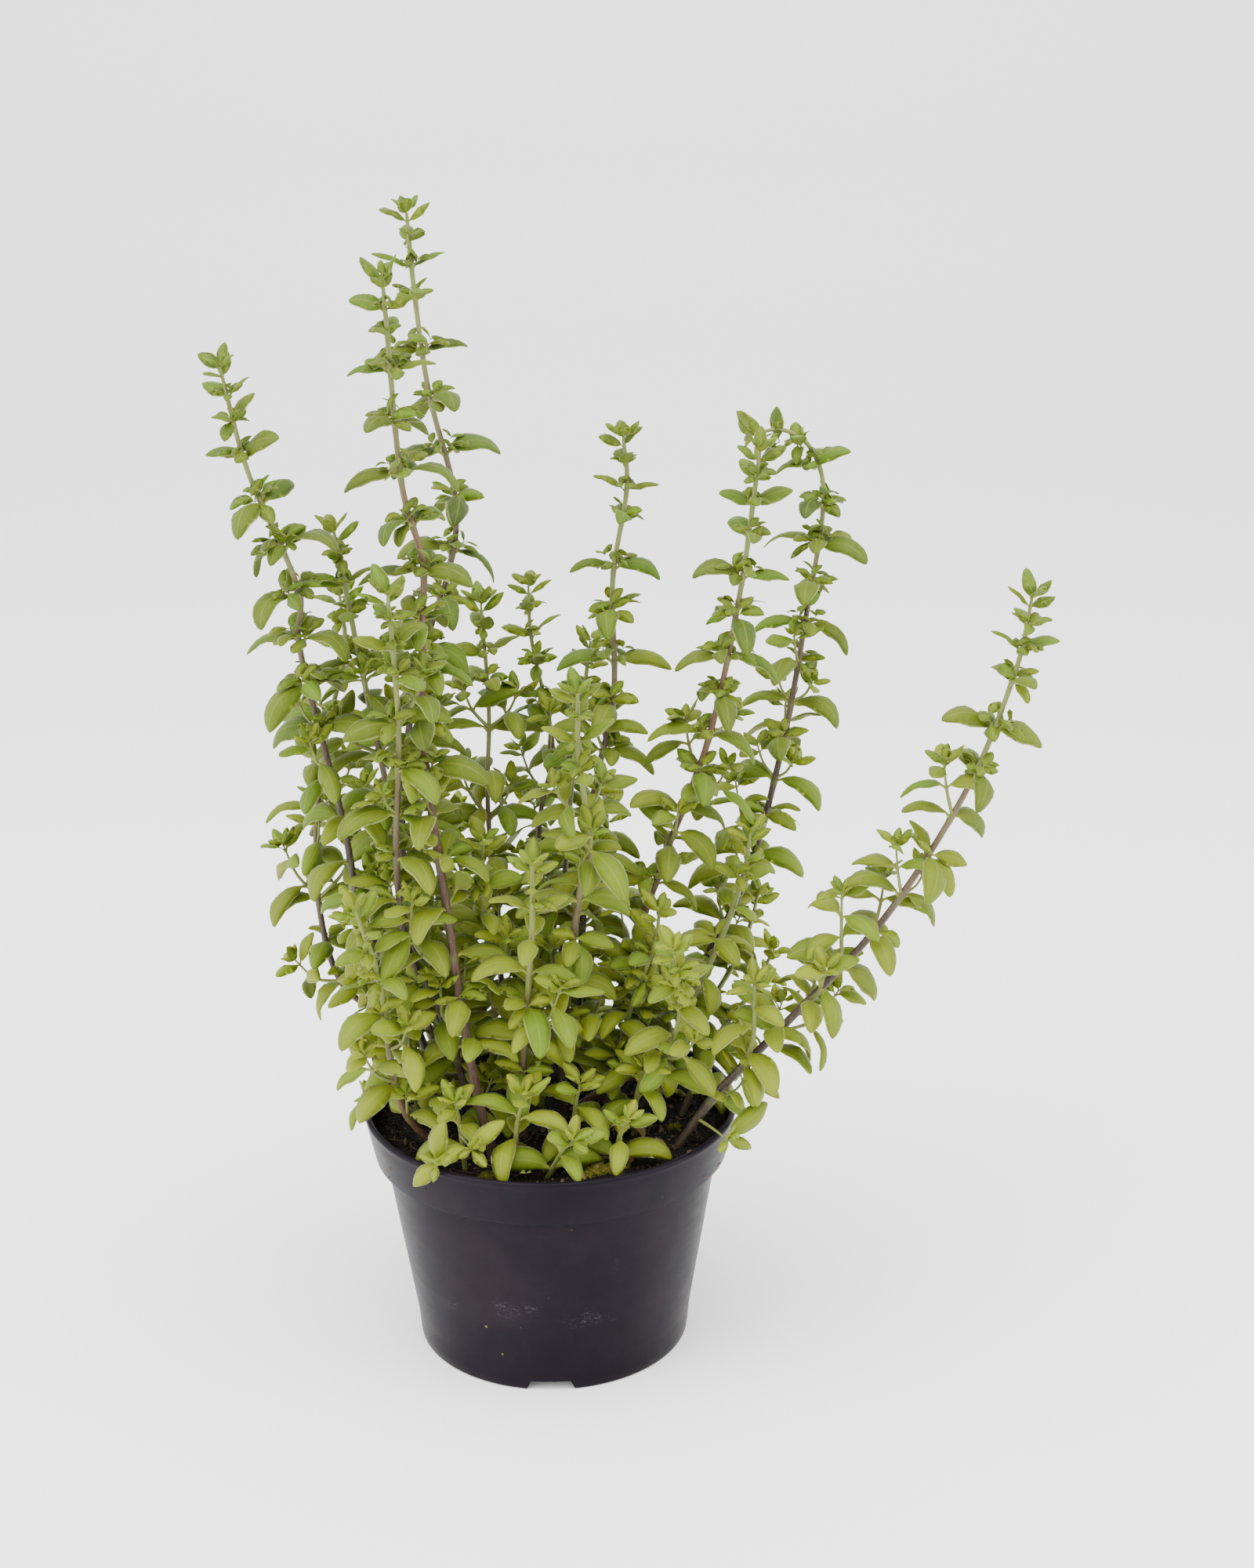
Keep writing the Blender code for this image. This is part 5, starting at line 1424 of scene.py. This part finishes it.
def soilBody(look, pot):
    step = pot["height"] - pot["band"]
    low = pot["floor"] + pot["wall"] + look["gap"]
    edge = look["top"] - look["bump"] / 2
    lipRun = (edge - step - 1.4) / (pot["height"] - 0.6 - step - 1.4)
    edgeRadius = pot["bandFoot"] - pot["wall"] + (pot["rim"] - 1.9 - pot["bandFoot"] + pot["wall"]) * lipRun
    side = [(pot["bodyFoot"] - pot["wall"] - 1.0 - look["gap"], low),
            (pot["bodyTop"] - pot["wall"] - look["gap"] - 0.1, step + 0.7),
            (pot["bandFoot"] - pot["wall"] - look["gap"] - 0.1, step + 1.7),
            (edgeRadius - look["gap"] - 0.2, edge)]

    def height(x, y):
        wave = math.sin(x * 0.19 + 0.7) * math.cos(y * 0.23 - 0.4) + 0.5 * math.sin(x * 0.41 - y * 0.37)
        inward = min(1.0, max(0.0, (58.0 - math.hypot(x, y)) / 20.0))
        return look["top"] + look["bump"] * (0.6 * wave * inward + inward - 0.6)

    rings = [(r, z, False) for r, z in side]
    rings += [(side[-1][0] * (1 - (i + 1) / look["rings"]), 0.0, True) for i in range(look["rings"] - 1)]
    count = look["steps"]
    vertices = [inPlace((0, 0, low))]
    for r, z, top in rings:
        for i in range(count):
            x, y = r * math.cos(math.tau * i / count), r * math.sin(math.tau * i / count)
            vertices.append(inPlace((x, y, height(x, y) if top else z)))
    vertices.append(inPlace((0, 0, height(0, 0))))
    faces = []
    for i in range(count):
        j = (i + 1) % count
        faces.append([0, 1 + j, 1 + i])
        for ring in range(len(rings) - 1):
            a = 1 + ring * count
            faces.append([a + i, a + j, a + count + j, a + count + i])
        last = 1 + (len(rings) - 1) * count
        faces.append([last + i, last + j, len(vertices) - 1])
    return addPiece("soilShape", meshFrom("soilShape", vertices, faces))


def soilTree(look):
    # crumbs and lumps strewn over the top of a roughened root ball
    tree, given = newTree("strewnPeat", {
        "Top height": "Float", "Roughness height": "Float", "Crumb density": "Float",
        "Crumb size": "Float", "Lump density": "Float", "Lump size": "Float", "Fibre density": "Float",
        "Fibre size": "Float", "Fibre radius": "Float", "Peat": "Material"})
    spot = addNode(tree, "GeometryNodeInputPosition")
    height = addNode(tree, "ShaderNodeSeparateXYZ", [spot]).outputs[2]
    onTop = addNode(tree, "FunctionNodeCompare", {0: height, 1: given["Top height"]},
                    data_type="FLOAT", operation="GREATER_THAN")
    coarse = addNode(tree, "ShaderNodeTexNoise", {"Vector": spot, "Scale": 1 / (7 * mm), "Detail": 6.0,
                                                  "Roughness": 0.65})
    level = addNode(tree, "ShaderNodeMath", [coarse, 0.55], operation="SUBTRACT")
    rise = addNode(tree, "ShaderNodeMath", [level, given["Roughness height"]], operation="MULTIPLY")
    offset = addNode(tree, "ShaderNodeCombineXYZ", [0.0, 0.0, rise])
    ground = addNode(tree, "GeometryNodeSetPosition", {"Geometry": given["Geometry"], "Selection": onTop,
                                                       "Offset": offset})
    joined = addNode(tree, "GeometryNodeJoinGeometry")
    for order, label in enumerate(("Crumb", "Lump")):
        seed = look["seed"] + 10 * order
        spots = addNode(tree, "GeometryNodeDistributePointsOnFaces",
                        {"Mesh": ground, "Selection": onTop, "Density": given[label + " density"], "Seed": seed})
        grain = addNode(tree, "GeometryNodeMeshIcoSphere", {"Radius": 0.5, "Subdivisions": 1})
        turn = addNode(tree, "FunctionNodeRandomValue", {0: (0.0, 0.0, 0.0), 1: (6.3, 6.3, 6.3), 8: seed + 1},
                       data_type="FLOAT_VECTOR")
        stretch = addNode(tree, "FunctionNodeRandomValue", {0: (0.35, 0.35, 0.3), 1: (1.7, 1.1, 0.8), 8: seed + 2},
                          data_type="FLOAT_VECTOR")
        size = addNode(tree, "ShaderNodeVectorMath", {0: stretch, 3: given[label + " size"]}, operation="SCALE")
        crumbs = addNode(tree, "GeometryNodeInstanceOnPoints",
                         {"Points": spots, "Instance": grain.outputs[0],
                          "Rotation": addNode(tree, "FunctionNodeEulerToRotation", [turn]), "Scale": size})
        tone = addNode(tree, "FunctionNodeRandomValue", {2: 0.0, 3: 1.0, 8: seed + 3}, data_type="FLOAT")
        crumbs = addNode(tree, "GeometryNodeStoreNamedAttribute",
                         {"Geometry": crumbs, "Name": "crumbTone", "Value": tone.outputs[1]},
                         data_type="FLOAT", domain="INSTANCE")
        crumbs = addNode(tree, "GeometryNodeRealizeInstances", [crumbs])
        spotNow = addNode(tree, "GeometryNodeInputPosition")
        bumps = addNode(tree, "ShaderNodeTexNoise", {"Vector": spotNow, "Scale": 1 / (0.8 * mm), "Detail": 1.0})
        push = addNode(tree, "ShaderNodeVectorMath", {0: bumps.outputs["Color"], 1: (0.5, 0.5, 0.5)},
                       operation="SUBTRACT")
        push = addNode(tree, "ShaderNodeVectorMath", {0: push, 3: 0.7 * mm}, operation="SCALE")
        crumbs = addNode(tree, "GeometryNodeSetPosition", {"Geometry": crumbs, "Offset": push})
        tree.links.new(crumbs.outputs[0], joined.inputs[0])
    tree.links.new(ground.outputs[0], joined.inputs[0])
    # bent fibres lie on the peat
    seed = look["seed"] + 40
    spots = addNode(tree, "GeometryNodeDistributePointsOnFaces",
                    {"Mesh": ground, "Selection": onTop, "Density": given["Fibre density"], "Seed": seed})
    thread = addNode(tree, "GeometryNodeCurveQuadraticBezier",
                     {"Resolution": 5, "Start": (-0.5, 0.0, 0.03), "Middle": (0.1, 0.35, 0.12), "End": (0.5, -0.1, 0.02)})
    turn = addNode(tree, "FunctionNodeRandomValue", {0: (-0.15, -0.15, 0.0), 1: (0.15, 0.15, 6.3), 8: seed + 1},
                   data_type="FLOAT_VECTOR")
    long = addNode(tree, "FunctionNodeRandomValue", {2: 0.4, 3: 1.4, 8: seed + 2}, data_type="FLOAT")
    size = addNode(tree, "ShaderNodeMath", [long.outputs[1], given["Fibre size"]], operation="MULTIPLY")
    fibres = addNode(tree, "GeometryNodeInstanceOnPoints",
                     {"Points": spots, "Instance": thread,
                      "Rotation": addNode(tree, "FunctionNodeEulerToRotation", [turn]), "Scale": size})
    tone = addNode(tree, "FunctionNodeRandomValue", {2: 0.8, 3: 1.0, 8: seed + 3}, data_type="FLOAT")
    fibres = addNode(tree, "GeometryNodeStoreNamedAttribute",
                     {"Geometry": fibres, "Name": "crumbTone", "Value": tone.outputs[1]},
                     data_type="FLOAT", domain="INSTANCE")
    fibres = addNode(tree, "GeometryNodeRealizeInstances", [fibres])
    ring = addNode(tree, "GeometryNodeCurvePrimitiveCircle", {"Resolution": 4, "Radius": given["Fibre radius"]})
    fibres = addNode(tree, "GeometryNodeCurveToMesh", {"Curve": fibres, "Profile Curve": ring, "Fill Caps": True})
    tree.links.new(fibres.outputs[0], joined.inputs[0])
    whole = addNode(tree, "GeometryNodeRealizeInstances", [joined])
    dressed = addNode(tree, "GeometryNodeSetMaterial", {"Geometry": whole, "Material": given["Peat"]})
    addNode(tree, "NodeGroupOutput", [dressed])
    return tree


def soilSurface():
    # damp dark peat: nearly black and red-brown, with rare pale grains
    made, tree, shader = newMaterial("darkPeat", {"Roughness": 0.9, "Specular IOR Level": 0.25})
    tone = addNode(tree, "ShaderNodeAttribute", attribute_name="crumbTone").outputs["Fac"]
    where = addNode(tree, "ShaderNodeTexCoord").outputs["Object"]
    fine = addNode(tree, "ShaderNodeTexNoise", {"Vector": where, "Scale": 1 / (1.2 * mm), "Detail": 6.0})
    mixed = addNode(tree, "ShaderNodeMath", [fine, 0.22, tone], operation="MULTIPLY_ADD")
    base = setRamp(addNode(tree, "ShaderNodeValToRGB", [mixed]),
                   ((0.0, "#0b0705"), (0.35, "#130c08"), (0.75, "#20150e"), (0.93, "#34261a"),
                    (1.0, "#5d4e35")))
    tree.links.new(base.outputs[0], shader.inputs["Base Color"])
    bump = addNode(tree, "ShaderNodeBump", {"Strength": 0.8, "Distance": 0.5 * mm, "Height": fine})
    tree.links.new(bump.outputs[0], shader.inputs["Normal"])
    return made


peat = soilSurface()
soil = runTree(soilTree(soilLook), soilBody(soilLook, potLook), {
    "Top height": (soilLook["top"] - 1.3) * mm, "Roughness height": 2.4 * mm,
    "Crumb density": soilLook["crumbDensity"], "Crumb size": soilLook["crumb"],
    "Lump density": soilLook["lumpDensity"], "Lump size": soilLook["lump"],
    "Fibre density": soilLook["fibreDensity"], "Fibre size": soilLook["fibre"],
    "Fibre radius": soilLook["fibreRadius"], "Peat": peat}, "peatRootBall")
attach(soil, "root")
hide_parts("soil")
print("soil laid, faces:", len(soil.data.polygons))


# Moss: low cushions of short upright leaves near the front of the soil.
mossLook = {
    "cushions": ((9, -39, 3.6), (14, -41.5, 4.4), (20, -39.5, 3.8), (25, -37, 2.6), (17, -36.5, 2.8),
                 (-20, -44, 2.6), (43, -8, 2.4), (-45, 12, 2.8), (30, 36, 3.0)),
    "height": 1.5, "density": 3.2e6, "leaf": 1.5 * mm, "leafRadius": 0.24 * mm, "seed": 3,
    "dark": "#2d330c", "bright": "#6b6c1c", "dry": "#6a552a",
}


def mossCushions(look):
    # a shallow dome for each cushion
    vertices, faces = [], []
    for x, y, radius in look["cushions"]:
        start = len(vertices)
        vertices.append(inPlace((x, y, soilLook["top"] + look["height"])))
        for ring, rise in ((0.45, 0.86), (0.8, 0.5), (1.0, -0.6)):
            for i in range(12):
                turn = math.tau * i / 12
                reach = radius * ring * (1.0 + 0.16 * math.sin(3 * turn + x) + 0.1 * math.cos(5 * turn + y))
                vertices.append(inPlace((x + reach * math.cos(turn), y + 0.7 * reach * math.sin(turn),
                                         soilLook["top"] + look["height"] * rise)))
        for i in range(12):
            j = (i + 1) % 12
            faces.append([start, start + 1 + i, start + 1 + j])
            for ring in (1, 13):
                faces.append([start + ring + i, start + ring + 12 + i, start + ring + 12 + j, start + ring + j])
        faces.append([start + 25 + i for i in range(12)][::-1])
    return addPiece("mossShape", meshFrom("mossShape", vertices, faces))


def mossTree(look):
    tree, given = newTree("mossLeaves", {"Leaf density": "Float", "Leaf length": "Float",
                                         "Leaf radius": "Float", "Moss": "Material"})
    spots = addNode(tree, "GeometryNodeDistributePointsOnFaces",
                    {"Mesh": given["Geometry"], "Density": given["Leaf density"], "Seed": look["seed"]})
    spike = addNode(tree, "GeometryNodeMeshCone", {"Vertices": 3, "Radius Top": 0.0, "Radius Bottom": 1.0,
                                                   "Depth": 1.0})
    lean = addNode(tree, "FunctionNodeRandomValue", {0: (-0.7, -0.7, 0.0), 1: (0.7, 0.7, 6.3), 8: 2},
                   data_type="FLOAT_VECTOR")
    turned = addNode(tree, "FunctionNodeRotateRotation",
                     [spots.outputs["Rotation"], addNode(tree, "FunctionNodeEulerToRotation", [lean])],
                     rotation_space="LOCAL")
    tall = addNode(tree, "FunctionNodeRandomValue", {2: 0.5, 3: 1.2, 8: 6}, data_type="FLOAT")
    length = addNode(tree, "ShaderNodeMath", [given["Leaf length"], tall.outputs[1]], operation="MULTIPLY")
    size = addNode(tree, "ShaderNodeCombineXYZ", [given["Leaf radius"], given["Leaf radius"], length])
    blades = addNode(tree, "GeometryNodeInstanceOnPoints",
                     {"Points": spots, "Instance": spike, "Rotation": turned, "Scale": size})
    joined = addNode(tree, "GeometryNodeJoinGeometry")
    tree.links.new(blades.outputs[0], joined.inputs[0])
    tree.links.new(given["Geometry"], joined.inputs[0])
    whole = addNode(tree, "GeometryNodeRealizeInstances", [joined])
    dressed = addNode(tree, "GeometryNodeSetMaterial", {"Geometry": whole, "Material": given["Moss"]})
    addNode(tree, "NodeGroupOutput", [dressed])
    return tree


def mossSurface(look):
    # matt olive moss that yellows and browns in patches 3 mm across
    made, tree, shader = newMaterial("oliveMoss", {"Roughness": 0.85, "Specular IOR Level": 0.2})
    where = addNode(tree, "ShaderNodeTexCoord").outputs["Object"]
    patches = addNode(tree, "ShaderNodeTexNoise", {"Vector": where, "Scale": 1 / (3 * mm), "Detail": 4.0})
    base = setRamp(addNode(tree, "ShaderNodeValToRGB", [patches]),
                   ((0.3, look["dark"]), (0.52, look["bright"]), (0.68, look["dry"])))
    tree.links.new(base.outputs[0], shader.inputs["Base Color"])
    bump = addNode(tree, "ShaderNodeBump", {"Strength": 0.6, "Distance": 0.3 * mm, "Height": patches})
    tree.links.new(bump.outputs[0], shader.inputs["Normal"])
    return made


moss = runTree(mossTree(mossLook), mossCushions(mossLook), {
    "Leaf density": mossLook["density"], "Leaf length": mossLook["leaf"],
    "Leaf radius": mossLook["leafRadius"], "Moss": mossSurface(mossLook)}, "mossCushions")
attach(moss, "root")
print("moss grown, faces:", len(moss.data.polygons))


# Floor and light: a plain pale sweep under wide soft lamps.
stageLook = {"floor": "#f7f7f7", "world": "#ffffff", "worldStrength": 2.2}


def paleFloor(look):
    made, tree, shader = newMaterial("paleFloor", {"Roughness": 0.9, "Specular IOR Level": 0.1})
    shader.inputs["Base Color"].default_value = linear(look["floor"])
    # a wide ground that curves up far behind
    section = [(-3.0, 0.0), (1.2, 0.0), (1.6, 0.03), (1.9, 0.12), (2.15, 0.3), (2.3, 0.6), (2.35, 1.0), (2.4, 3.2)]
    vertices = [(x, y, z) for y, z in section for x in (-4.0, 4.0)]
    faces = [[2 * i, 2 * i + 1, 2 * i + 3, 2 * i + 2] for i in range(len(section) - 1)]
    floor = addPiece("paleFloor", meshFrom("paleFloor", vertices, faces))
    floor.data.materials.append(made)
    floor.data.shade_smooth()


def addLamp(name, place, size, power, colour="#ffffff", aim=(0.0, 0.0, 0.16)):
    data = bpy.data.lights.new(name, "AREA")
    data.shape = "RECTANGLE"
    data.size, data.size_y = size
    data.energy = power
    data.color = linear(colour)[:3]
    lamp = bpy.data.objects.new(name, data)
    lamp.location = place
    lamp.rotation_euler = (Vector(aim) - Vector(place)).to_track_quat("-Z", "Y").to_euler()
    bpy.context.scene.collection.objects.link(lamp)


paleFloor(stageLook)
world = bpy.data.worlds.new("softWhite")
world.use_nodes = True
world.node_tree.nodes["Background"].inputs[0].default_value = linear(stageLook["world"])
world.node_tree.nodes["Background"].inputs[1].default_value = stageLook["worldStrength"]
bpy.context.scene.world = world
addLamp("overhead", (-0.1, -0.35, 1.5), (1.6, 1.4), 34.0)
addLamp("leftWindow", (-1.2, -0.7, 0.7), (0.9, 1.3), 20.0)
addLamp("rightWindow", (1.3, -0.35, 0.6), (0.8, 1.2), 14.0)
print("floor and lamps set")
